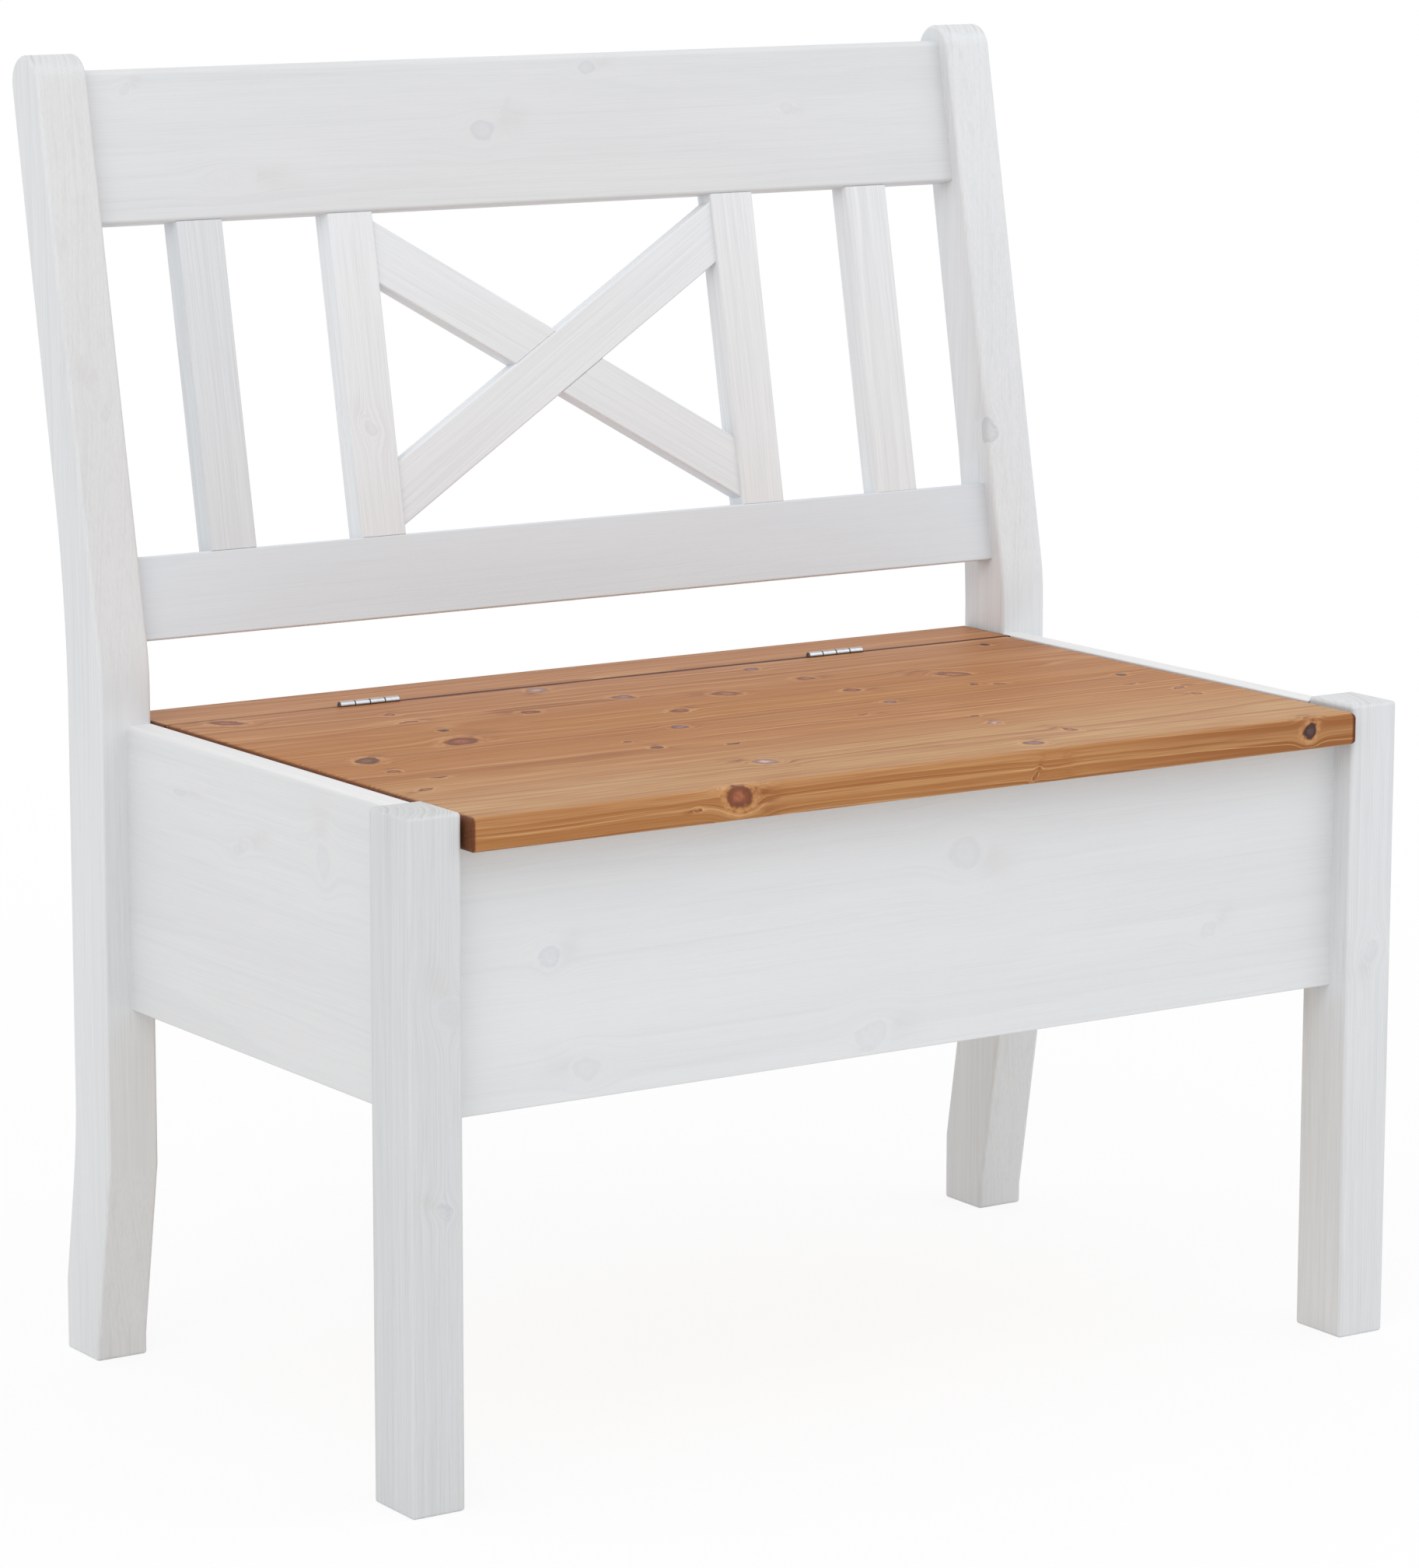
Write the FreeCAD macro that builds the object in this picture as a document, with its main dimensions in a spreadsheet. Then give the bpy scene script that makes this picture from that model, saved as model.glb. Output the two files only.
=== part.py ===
"""Storage bench: a chest on four legs with a hinged lid and a raked, open backrest.

Millimetres. +Z is up, the front faces -Y and X runs along the bench. The origin is on the floor,
at the middle of the bench's outer box. Left and right are as seen from the front.
"""
import FreeCAD, Part
import math
import os
from types import SimpleNamespace

import Sketcher
from FreeCAD import Placement, Rotation, Vector

SIZES = {
    # Outer sizes
    "bench_width": 834,
    "bench_depth": 552,
    "bench_height": 938,
    "seat_height": 470,
    # Front legs
    "leg_width": 41,
    "leg_depth": 51,
    "leg_proud": 3,
    "leg_round": 3,
    "frame_depth": 476.5,
    # Rear posts
    "post_depth": 51,
    "post_round": 3,
    "post_top_radius": 19.5,
    "bend_rise": 41,
    "bend_radius": 175,
    "back_bend_rise": 80,
    "back_bend_radius": 920,
    "foot_kick": 22,
    "foot_pad": 15,
    "foot_height": 147,
    "heel_kick": 18.5,
    "heel_pad": 52,
    "heel_radius": 437,
    # Panels of the chest
    "panel_thickness": 20,
    "panel_bottom": 263,
    "front_setback": 20,
    "side_drop": 0.5,
    "side_round": 4.5,
    "tongue_thickness": 10,
    "tongue_length": 10,
    "tongue_clear": 6,
    "tongue_shoulder": 12,
    "tongue_gap": 1,
    # Chest floor and its cleats
    "floor_thickness": 9,
    "floor_gap": 0.5,
    "cleat_size": 20,
    "cleat_rise": 2,
    # Lid, strip behind it and the bearer under the strip
    "lid_thickness": 24,
    "strip_depth": 61.4,
    "lid_overhang": 7,
    "lid_side_gap": 3.5,
    "lid_rest_gap": 0.3,
    "lid_round": 5,
    "lid_under_round": 3.5,
    "seam": 1.2,
    "strip_end_gap": 2,
    "strip_inset": 3.5,
    "strip_round": 2,
    "bearer_height": 40,
    "bearer_setback": 1.5,
    "bearer_gap": 6,
    # Backrest
    "back_setback": 11.2,
    "board_thickness": 20,
    "board_width": 111,
    "board_round": 5,
    "board_under_round": 3,
    "rail_rise": 18,
    "rail_width": 60,
    "board_rise": 7,
    "slat_width": 37.5,
    "slat_edge_gap": 64.5,
    "slat_gap": 87.5,
    "slat_round": 1.5,
    "brace_width": 40,
    "brace_thickness": 14,
    "brace_margin": 5.5,
    # Tenons and their mortises
    "tenon_thickness": 10,
    "tenon_length": 20,
    "tenon_shoulder": 15,
    "bearer_shoulder": 5,
    "slat_tenon_length": 12,
    "slat_tenon_shoulder": 5,
    "joint_gap": 0.2,
    "mortise_extra": 0.5,
    # Dowels
    "dowel_radius": 4,
    "dowel_length": 38,
    "dowel_in_strip": 14,
    "dowel_spacing": 240,
    "brace_dowel_radius": 3,
    "brace_dowel_length": 24,
    "brace_dowel_rise": 23,
    "dowel_gap": 0.05,
    # Hinges
    "hinge_offset": 206,
    "hinge_length": 49.5,
    "hinge_rise": 1,
    "barrel_radius": 2.7,
    "barrel_gap": 0.3,
    "pin_radius": 1.3,
    "pin_gap": 0.05,
    "pin_inset": 0.6,
    "knuckle_gap": 0.5,
    "leaf_thickness": 1.2,
    "leaf_height": 18,
    "leaf_gap": 0.1,
    "leaf_neck": 1,
    # Screws of the hinges and cleats
    "screw_radius": 1.5,
    "screw_head_radius": 2.5,
    "screw_length": 15,
    "screw_spacing": 18,
    "screw_drop": 1.5,
    "leaf_sink": 0.9,
    "cleat_screw_radius": 2,
    "cleat_screw_head_radius": 4,
    "cleat_screw_length": 32,
    "cleat_screw_spacing": 300,
    "cleat_screw_inset": 56,
    "screw_gap": 0.1,
}

SIDES = {"left": -1, "right": 1}
TOUCH = 0.01

doc = FreeCAD.newDocument("StorageBench")
sheet = doc.addObject("Spreadsheet::Sheet", "Sizes")
for row, (alias, number) in enumerate(SIZES.items(), start=1):
    sheet.set(f"A{row}", alias.replace("_", " "))
    sheet.set(f"B{row}", str(number))
    sheet.setAlias(f"B{row}", alias)
doc.recompute()


def plus(*terms):
    """The sum of some sizes and places, as an expression."""
    return "(" + " + ".join(str(term) for term in terms) + ")"


def minus(first, *terms):
    """The first size or place less the others, as an expression."""
    return "(" + " - ".join([str(first)] + [str(term) for term in terms]) + ")"


def times(first, second):
    return f"({first} * {second})"


def value(text):
    """The number that an expression gives now."""
    result = sheet.evalExpression(str(text))
    return float(getattr(result, "Value", result))


# Every size of the sheet under its own name, as it is written in an expression
Size = SimpleNamespace(**{alias: f"Sizes.{alias}" for alias in SIZES})

# Places along X, from the middle outwards
OUTER_FACE = f"({Size.bench_width} / 2)"
INNER_FACE = minus(OUTER_FACE, Size.leg_width)
TONGUE_INSET = f"(({Size.panel_thickness} - {Size.tongue_thickness}) / 2)"

# Places along Y, from the front backwards
LID_FRONT = f"(-{Size.bench_depth} / 2)"
LEG_FRONT = plus(LID_FRONT, Size.lid_overhang)
LEG_BACK = plus(LEG_FRONT, Size.leg_depth)
FRAME_BACK = plus(LEG_FRONT, Size.frame_depth)
POST_FRONT = minus(FRAME_BACK, Size.post_depth)
FRONT_PANEL_FACE = plus(LEG_FRONT, Size.front_setback)
FRONT_PANEL_BACK = plus(FRONT_PANEL_FACE, Size.panel_thickness)
FRONT_TONGUE = minus(LEG_BACK, Size.tongue_gap, FRONT_PANEL_BACK)
STRIP_BACK = minus(FRAME_BACK, Size.strip_inset)
STRIP_FRONT = minus(STRIP_BACK, Size.strip_depth)
LID_BACK = minus(STRIP_FRONT, Size.seam)
HINGE_Y = plus(LID_BACK, f"{Size.seam} / 2")
BACK_PANEL_FACE = minus(STRIP_BACK, Size.panel_thickness)
BEARER_FACE = plus(POST_FRONT, Size.bearer_setback)
BEARER_THICKNESS = minus(BACK_PANEL_FACE, Size.bearer_gap, BEARER_FACE)
BEARER_TENON_FACE = plus(BEARER_FACE, f"({BEARER_THICKNESS} - {Size.tenon_thickness}) / 2")
BACK_PANEL_MIDDLE = plus(BACK_PANEL_FACE, f"{Size.panel_thickness} / 2")
BEARER_MIDDLE = plus(BEARER_FACE, f"{BEARER_THICKNESS} / 2")
STRIP_DOWEL_LINES = (BEARER_MIDDLE, BACK_PANEL_MIDDLE)

# Places along Z, from the floor upwards
CLEAT_BOTTOM = plus(Size.panel_bottom, Size.cleat_rise)
FLOOR_BOTTOM = plus(CLEAT_BOTTOM, Size.cleat_size)
LID_BOTTOM = minus(Size.seat_height, Size.lid_thickness)
BEARER_BOTTOM = minus(LID_BOTTOM, Size.bearer_height)
TONGUE_BOTTOM = plus(Size.panel_bottom, Size.tongue_shoulder)
TONGUE_HEIGHT = minus(BEARER_BOTTOM, Size.tongue_clear, TONGUE_BOTTOM)
HINGE_Z = plus(Size.seat_height, Size.hinge_rise)

# The backrest leans on a line from the posts' front bend, tangent to their round tops
BEND_Z = plus(Size.seat_height, Size.bend_rise)
BACK_BEND_Z = plus(Size.seat_height, Size.back_bend_rise)
TOP_Y = minus(f"{Size.bench_depth} / 2", Size.post_top_radius)
TOP_Z = minus(Size.bench_height, Size.post_top_radius)
RUN = minus(TOP_Y, POST_FRONT)
RISE = minus(TOP_Z, BEND_Z)
RAKE = f"(atan({RUN} / {RISE}) - asin({Size.post_top_radius} / hypot({RUN}; {RISE})))"
BACK_Y = plus(POST_FRONT, times(Size.back_setback, f"cos({RAKE})"))
BACK_Z = minus(BEND_Z, times(Size.back_setback, f"sin({RAKE})"))

# Places up the leaning backrest, from its bend
RAKE_LENGTH = f"sqrt({RUN} ^ 2 + {RISE} ^ 2 - {Size.post_top_radius} ^ 2)"
RAIL_TOP = plus(Size.rail_rise, Size.rail_width)
BOARD_BOTTOM = minus(plus(RAKE_LENGTH, Size.board_rise), Size.board_width)
SLAT_LENGTH = minus(BOARD_BOTTOM, RAIL_TOP)
TENON_INSET = f"(({Size.board_thickness} - {Size.tenon_thickness}) / 2)"
OUTER_SLAT_EDGE = minus(INNER_FACE, Size.slat_edge_gap)
INNER_SLAT_EDGE = minus(OUTER_SLAT_EDGE, Size.slat_width, Size.slat_gap)
BRACE_REACH = minus(INNER_SLAT_EDGE, Size.slat_width)
BRACE_SETBACK = f"(({Size.board_thickness} - {Size.brace_thickness}) / 2)"

# Hinge knuckles
KNUCKLES = 4
KNUCKLE_LENGTH = f"(({Size.hinge_length} - {KNUCKLES - 1} * {Size.knuckle_gap}) / {KNUCKLES})"
BARREL_CLEAR = plus(Size.barrel_radius, Size.barrel_gap)


def on_side(sign, start, length):
    """The lower X of a stretch that starts at a distance from the middle on one side."""
    return start if sign > 0 else f"(-{start} - {length})"


def new_body(name, leaning=False):
    """An empty body; a leaning one stands in the backrest's own frame, with its Z up the rake."""
    body = doc.addObject("PartDesign::Body", name)
    body.Label = name
    if leaning:
        turn = Rotation(Vector(-1, 0, 0), value(RAKE))
        body.Placement = Placement(Vector(0, value(BACK_Y), value(BACK_Z)), turn)
        body.setExpression("Placement.Base.y", BACK_Y)
        body.setExpression("Placement.Base.z", BACK_Z)
        body.setExpression("Placement.Rotation.Angle", RAKE)
    return body


def new_sketch(body, role, place, turn=None):
    """A sketch on one of the body's origin planes, moved by three expressions along the plane's axes."""
    sketch = body.newObject("Sketcher::SketchObject", body.Name + "_sketch")
    plane = [feature for feature in body.Origin.OriginFeatures if feature.Role == role][0]
    sketch.AttachmentSupport = [(plane, "")]
    sketch.MapMode = "FlatFace"
    rotation = Rotation(Vector(0, 0, -1), value(turn) if turn else 0)
    sketch.AttachmentOffset = Placement(Vector(*[value(text) for text in place]), rotation)
    for axis, text in zip("xyz", place):
        sketch.setExpression(f"AttachmentOffset.Base.{axis}", str(text))
    if turn:
        sketch.setExpression("AttachmentOffset.Rotation.Angle", turn)
    return sketch


def bind(sketch, kind, ends, text):
    """A dimension of the sketch that follows an expression."""
    index = sketch.addConstraint(Sketcher.Constraint(kind, *ends, value(text)))
    sketch.setExpression(f"Constraints[{index}]", str(text))


def draw_rectangle(sketch, width, height):
    """A rectangle from the sketch's origin to the right and up."""
    far_x = value(width)
    far_y = value(height)
    corners = [Vector(0, 0, 0), Vector(far_x, 0, 0), Vector(far_x, far_y, 0), Vector(0, far_y, 0)]
    for index in range(4):
        sketch.addGeometry(Part.LineSegment(corners[index], corners[(index + 1) % 4]), False)
    for index in range(4):
        sketch.addConstraint(Sketcher.Constraint("Coincident", index, 2, (index + 1) % 4, 1))
    for index in (0, 2):
        sketch.addConstraint(Sketcher.Constraint("Horizontal", index))
    for index in (1, 3):
        sketch.addConstraint(Sketcher.Constraint("Vertical", index))
    sketch.addConstraint(Sketcher.Constraint("Coincident", 0, 1, -1, 1))
    bind(sketch, "DistanceX", (0, 1, 0, 2), width)
    bind(sketch, "DistanceY", (1, 1, 1, 2), height)


def draw_circle(sketch, radius):
    """A circle round the sketch's origin."""
    sketch.addGeometry(Part.Circle(Vector(0, 0, 0), Vector(0, 0, 1), value(radius)), False)
    sketch.addConstraint(Sketcher.Constraint("Coincident", 0, 3, -1, 1))
    bind(sketch, "Radius", (0,), radius)


def grow(body, sketch, length, cut=False):
    """Extrude a sketch along its plane's normal, adding to the body or cutting it."""
    kind = "Pocket" if cut else "Pad"
    feature = body.newObject(f"PartDesign::{kind}", f"{body.Name}_{kind.lower()}")
    feature.Profile = sketch
    feature.Reversed = cut
    feature.Length = value(length)
    feature.setExpression("Length", str(length))
    return feature


def block(body, low, size, cut=False):
    """A box from its low corner, with its sides along X, Y and Z."""
    sketch = new_sketch(body, "XY_Plane", low)
    draw_rectangle(sketch, size[0], size[1])
    return grow(body, sketch, size[2], cut)


def bore(body, role, centre, radius, depth):
    """A round hole that starts at a point and runs along a plane's normal."""
    sketch = new_sketch(body, role, centre)
    draw_circle(sketch, radius)
    return grow(body, sketch, depth, cut=True)


def dress(body, kind, edge_test, size):
    """Round or chamfer the edges of the body's latest shape that pass a test."""
    doc.recompute()
    base = body.Tip
    names = [f"Edge{i}" for i, edge in enumerate(base.Shape.Edges, start=1) if edge_test(edge)]
    feature = body.newObject(f"PartDesign::{kind}", f"{body.Name}_{kind.lower()}")
    feature.Base = (base, names)
    name = "Radius" if kind == "Fillet" else "Size"
    setattr(feature, name, value(size))
    feature.setExpression(name, size)
    return feature


def runs_along(edge, axis):
    """Whether an edge is straight and lies along one axis."""
    if not isinstance(edge.Curve, Part.Line):
        return False
    return abs(abs(edge.Curve.Direction.dot(axis)) - 1) < 1e-6


def is_near(number, other):
    return abs(number - other) < TOUCH


def is_round_edge(edge, axis, level):
    """Whether an edge is a circle that faces along an axis, at a level on that axis."""
    if not isinstance(edge.Curve, Part.Circle):
        return False
    box = edge.BoundBox
    ends = {"x": (box.XMin, box.XMax), "y": (box.YMin, box.YMax)}[axis]
    return all(is_near(end, level) for end in ends)


# Front legs

def front_leg(side, sign):
    body = new_body(f"front_leg_{side}")
    low_x = on_side(sign, INNER_FACE, Size.leg_width)
    height = plus(Size.seat_height, Size.leg_proud)
    block(body, (low_x, LEG_FRONT, "0"), (Size.leg_width, Size.leg_depth, height))
    top = value(height)
    upright = Vector(0, 0, 1)
    dress(body, "Fillet", lambda e: runs_along(e, upright) or is_near(e.BoundBox.ZMin, top), Size.leg_round)
    groove_across(body, sign, FRONT_PANEL_FACE)
    groove_along(body, sign, minus(LEG_BACK, FRONT_TONGUE, Size.mortise_extra), FRONT_TONGUE)


def groove_across(body, sign, panel_face):
    """The groove in a leg's inner face for the tongue of the front or back panel."""
    depth = plus(Size.tongue_length, Size.mortise_extra)
    low = (on_side(sign, INNER_FACE, depth),
           minus(plus(panel_face, TONGUE_INSET), Size.joint_gap),
           minus(TONGUE_BOTTOM, Size.joint_gap))
    size = (depth,
            plus(Size.tongue_thickness, f"2 * {Size.joint_gap}"),
            plus(TONGUE_HEIGHT, f"2 * {Size.joint_gap}"))
    block(body, low, size, cut=True)


def groove_along(body, sign, low_y, tongue):
    """The groove in a leg or post for the tongue of a side panel, of a given length."""
    width = plus(Size.tongue_thickness, f"2 * {Size.joint_gap}")
    start = minus(plus(INNER_FACE, TONGUE_INSET), Size.joint_gap)
    low = (on_side(sign, start, width), low_y, minus(TONGUE_BOTTOM, Size.joint_gap))
    size = (width,
            plus(tongue, Size.mortise_extra),
            plus(TONGUE_HEIGHT, f"2 * {Size.joint_gap}"))
    block(body, low, size, cut=True)


# Rear posts

def bend_angle(start_y, start_z, toward):
    """The lean of a line from a bend to the front or back of the post's round top."""
    run = value(TOP_Y) - value(POST_FRONT) - start_y
    rise = value(TOP_Z) - start_z
    return math.atan(run / rise) + toward * math.asin(value(Size.post_top_radius) / math.hypot(run, rise))


def post_points():
    """The corners and tangent points of the post's outline, from its front face at the seat."""
    top = Vector(value(TOP_Y) - value(POST_FRONT), value(TOP_Z), 0)
    radius = value(Size.post_top_radius)
    depth = value(Size.post_depth)
    front = bend_angle(0, value(BEND_Z), -1)
    back = bend_angle(depth, value(BACK_BEND_Z), 1)
    kick = math.atan(value(Size.foot_kick) / (value(Size.foot_height) - value(Size.foot_pad)))
    reach = value(Size.bend_radius) * math.tan(front / 2)
    back_reach = value(Size.back_bend_radius) * math.tan(back / 2)
    heel_reach = value(Size.heel_radius) * math.tan(kick / 2)
    heel_z = value(Size.heel_pad) + value(Size.heel_kick) / math.tan(kick)
    bend = Vector(0, value(BEND_Z), 0)
    back_bend = Vector(depth, value(BACK_BEND_Z), 0)
    heel = Vector(depth, heel_z, 0)
    heel_x = depth + value(Size.heel_kick)
    return [
        Vector(value(Size.foot_kick), 0, 0),
        Vector(value(Size.foot_kick), value(Size.foot_pad), 0),
        Vector(0, value(Size.foot_height), 0),
        bend - Vector(0, reach, 0),
        bend + Vector(math.sin(front), math.cos(front), 0) * reach,
        top + Vector(-math.cos(front), math.sin(front), 0) * radius,
        top + Vector(math.cos(back), -math.sin(back), 0) * radius,
        back_bend + Vector(math.sin(back), math.cos(back), 0) * back_reach,
        back_bend - Vector(0, back_reach, 0),
        heel + Vector(0, heel_reach, 0),
        heel + Vector(math.sin(kick), -math.cos(kick), 0) * heel_reach,
        Vector(heel_x, value(Size.heel_pad), 0),
        Vector(heel_x, 0, 0),
    ]


def arc_about(centre, first, last):
    """The arc round a centre from one point anticlockwise to another."""
    radius = (first - centre).Length
    start = math.atan2(first.y - centre.y, first.x - centre.x)
    sweep = (math.atan2(last.y - centre.y, last.x - centre.x) - start) % (2 * math.pi)
    return Part.ArcOfCircle(Part.Circle(centre, Vector(0, 0, 1), radius), start, start + sweep)


def draw_post(sketch):
    """The post's outline: straight stretches with a round bend, top and heel between them."""
    points = post_points()
    top = Vector(value(TOP_Y) - value(POST_FRONT), value(TOP_Z), 0)
    bend = points[3] + Vector(value(Size.bend_radius), 0, 0)
    back_bend = points[8] + Vector(value(Size.back_bend_radius), 0, 0)
    heel = points[9] + Vector(value(Size.heel_radius), 0, 0)
    round_pieces = {
        3: (Size.bend_radius, arc_about(bend, points[4], points[3])),
        5: (Size.post_top_radius, arc_about(top, points[6], points[5])),
        7: (Size.back_bend_radius, arc_about(back_bend, points[7], points[8])),
        9: (Size.heel_radius, arc_about(heel, points[9], points[10])),
    }
    count = len(points)
    for index, point in enumerate(points):
        if index in round_pieces:
            sketch.addGeometry(round_pieces[index][1], False)
        else:
            sketch.addGeometry(Part.LineSegment(point, points[(index + 1) % count]), False)

    def end_at(index, point):
        start = sketch.Geometry[index].StartPoint
        return 1 if (start - point).Length < (sketch.Geometry[index].EndPoint - point).Length else 2

    for index in range(count):
        following = (index + 1) % count
        joint = points[following]
        smooth = index in round_pieces or following in round_pieces
        ends = (index, end_at(index, joint), following, end_at(following, joint))
        sketch.addConstraint(Sketcher.Constraint("Tangent" if smooth else "Coincident", *ends))
    for index in (0, 2, 8, 11):
        sketch.addConstraint(Sketcher.Constraint("Vertical", index))
    sketch.addConstraint(Sketcher.Constraint("Horizontal", 12))
    sketch.addConstraint(Sketcher.Constraint("PointOnObject", 0, 1, -1))
    sketch.addConstraint(Sketcher.Constraint("PointOnObject", 2, 1, -2))
    sketch.addConstraint(Sketcher.Constraint("Parallel", 1, 10))
    bind(sketch, "DistanceX", (-1, 1, 0, 1), Size.foot_kick)
    bind(sketch, "DistanceY", (0, 1, 0, 2), Size.foot_pad)
    bind(sketch, "DistanceY", (-1, 1, 2, 1), Size.foot_height)
    bind(sketch, "DistanceX", (-1, 1, 8, 1), Size.post_depth)
    bind(sketch, "DistanceX", (-1, 1, 12, 1), plus(Size.post_depth, Size.heel_kick))
    bind(sketch, "DistanceY", (-1, 1, 11, 1), Size.heel_pad)
    bind(sketch, "DistanceX", (-1, 1, 5, 3), RUN)
    bind(sketch, "DistanceY", (-1, 1, 5, 3), TOP_Z)
    for index, (radius, arc) in round_pieces.items():
        bind(sketch, "Radius", (index,), radius)
    bends = {(2, 4): ("0", BEND_Z), (6, 8): (Size.post_depth, BACK_BEND_Z)}
    for lines, (x, height) in bends.items():
        corner = sketch.addGeometry(Part.Point(Vector(value(x), value(height), 0)), True)
        for line in lines:
            sketch.addConstraint(Sketcher.Constraint("PointOnObject", corner, 1, line))
        bind(sketch, "DistanceY", (-1, 1, corner, 1), height)


def raked_mortise(body, sign, low, high):
    """A mortise in the post's inner face for a tenon between two heights up the backrest."""
    depth = plus(Size.tenon_length, Size.mortise_extra)
    inset = minus(TENON_INSET, Size.joint_gap)
    rise = minus(low, Size.joint_gap)
    corner_y = plus(BACK_Y, times(inset, f"cos({RAKE})"), times(rise, f"sin({RAKE})"))
    corner_z = plus(minus(BACK_Z, times(inset, f"sin({RAKE})")), times(rise, f"cos({RAKE})"))
    sketch = new_sketch(body, "YZ_Plane", (corner_y, corner_z, on_side(sign, INNER_FACE, depth)), RAKE)
    thickness = plus(Size.tenon_thickness, f"2 * {Size.joint_gap}")
    draw_rectangle(sketch, thickness, plus(minus(high, low), f"2 * {Size.joint_gap}"))
    grow(body, sketch, depth, cut=True)


def rear_post(side, sign):
    body = new_body(f"rear_post_{side}")
    sketch = new_sketch(body, "YZ_Plane", (POST_FRONT, "0", on_side(sign, INNER_FACE, Size.leg_width)))
    draw_post(sketch)
    grow(body, sketch, Size.leg_width)
    on_side_face = lambda e: is_near(e.BoundBox.XMin, e.BoundBox.XMax) and not is_near(e.BoundBox.ZMax, 0)
    dress(body, "Fillet", on_side_face, Size.post_round)
    groove_along(body, sign, POST_FRONT, Size.tongue_length)
    groove_across(body, sign, BACK_PANEL_FACE)
    for bottom, width in ((Size.rail_rise, Size.rail_width), (BOARD_BOTTOM, Size.board_width)):
        low = plus(bottom, Size.tenon_shoulder)
        high = minus(plus(bottom, width), Size.tenon_shoulder)
        raked_mortise(body, sign, low, high)
    depth = plus(Size.tenon_length, Size.mortise_extra)
    low = (on_side(sign, INNER_FACE, depth),
           minus(BEARER_TENON_FACE, Size.joint_gap),
           minus(plus(BEARER_BOTTOM, Size.bearer_shoulder), Size.joint_gap))
    height = minus(Size.bearer_height, f"2 * {Size.bearer_shoulder}")
    size = (depth,
            plus(Size.tenon_thickness, f"2 * {Size.joint_gap}"),
            plus(height, f"2 * {Size.joint_gap}"))
    block(body, low, size, cut=True)


# Chest panels

def cleat_places(length):
    """Distances of a cleat's screws from its middle: three on a long cleat, two on a short one."""
    if length == "long":
        return [f"(-{Size.cleat_screw_spacing})", "0", Size.cleat_screw_spacing]
    reach = minus(f"{SIDE_CLEAT_LENGTH} / 2", Size.cleat_screw_inset)
    return [f"(-{reach})", reach]


CLEAT_SCREW_Z = plus(CLEAT_BOTTOM, f"{Size.cleat_size} / 2")
SIDE_MIDDLE = f"(({FRONT_PANEL_BACK} + {BACK_PANEL_FACE}) / 2)"
SIDE_CLEAT_LENGTH = minus(BACK_PANEL_FACE, FRONT_PANEL_BACK, f"2 * {Size.floor_gap}")
PILOT_RADIUS = plus(Size.cleat_screw_radius, Size.screw_gap)
PILOT_DEPTH = plus(minus(Size.cleat_screw_length, Size.cleat_size), Size.mortise_extra)


def cross_panel(name, face, top):
    """The front or back panel: a board between the legs with a tongue at each end."""
    body = new_body(name)
    height = minus(top, Size.panel_bottom)
    low = (f"(-{INNER_FACE})", face, Size.panel_bottom)
    block(body, low, (times(2, INNER_FACE), Size.panel_thickness, height))
    for sign in SIDES.values():
        low = (on_side(sign, INNER_FACE, Size.tongue_length), plus(face, TONGUE_INSET), TONGUE_BOTTOM)
        block(body, low, (Size.tongue_length, Size.tongue_thickness, TONGUE_HEIGHT))
    return body


def front_panel():
    body = cross_panel("front_panel", FRONT_PANEL_FACE, minus(LID_BOTTOM, Size.lid_rest_gap))
    for place in cleat_places("long"):
        bore(body, "XZ_Plane", (place, CLEAT_SCREW_Z, f"(-{FRONT_PANEL_BACK})"), PILOT_RADIUS, PILOT_DEPTH)


def back_panel():
    body = cross_panel("back_panel", BACK_PANEL_FACE, LID_BOTTOM)
    for place in cleat_places("long"):
        start = minus(f"(-{BACK_PANEL_FACE})", PILOT_DEPTH)
        bore(body, "XZ_Plane", (place, CLEAT_SCREW_Z, start), PILOT_RADIUS, PILOT_DEPTH)
    strip_dowel_holes(body, BACK_PANEL_MIDDLE)


def side_panel(side, sign):
    body = new_body(f"side_panel_{side}")
    low_x = on_side(sign, INNER_FACE, Size.panel_thickness)
    height = minus(Size.seat_height, Size.side_drop, Size.panel_bottom)
    length = minus(POST_FRONT, LEG_BACK)
    block(body, (low_x, LEG_BACK, Size.panel_bottom), (Size.panel_thickness, length, height))
    outer = sign * value(plus(INNER_FACE, Size.panel_thickness))
    top = value(minus(Size.seat_height, Size.side_drop))
    dress(body, "Fillet",
          lambda e: runs_along(e, Vector(0, 1, 0)) and is_near(e.BoundBox.XMin, outer)
          and is_near(e.BoundBox.ZMin, top),
          Size.side_round)
    tongue_x = on_side(sign, plus(INNER_FACE, TONGUE_INSET), Size.tongue_thickness)
    for low_y, tongue in ((minus(LEG_BACK, FRONT_TONGUE), FRONT_TONGUE), (POST_FRONT, Size.tongue_length)):
        block(body, (tongue_x, low_y, TONGUE_BOTTOM), (Size.tongue_thickness, tongue, TONGUE_HEIGHT))
    start = on_side(sign, INNER_FACE, PILOT_DEPTH)
    for place in cleat_places("short"):
        bore(body, "YZ_Plane", (plus(SIDE_MIDDLE, place), CLEAT_SCREW_Z, start), PILOT_RADIUS, PILOT_DEPTH)


# Chest floor

CLEAT_LENGTH = minus(times(2, INNER_FACE), f"2 * {Size.cleat_size}", f"2 * {Size.floor_gap}")
SINK_SIZE = minus(Size.cleat_screw_head_radius, Size.cleat_screw_radius)


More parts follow.
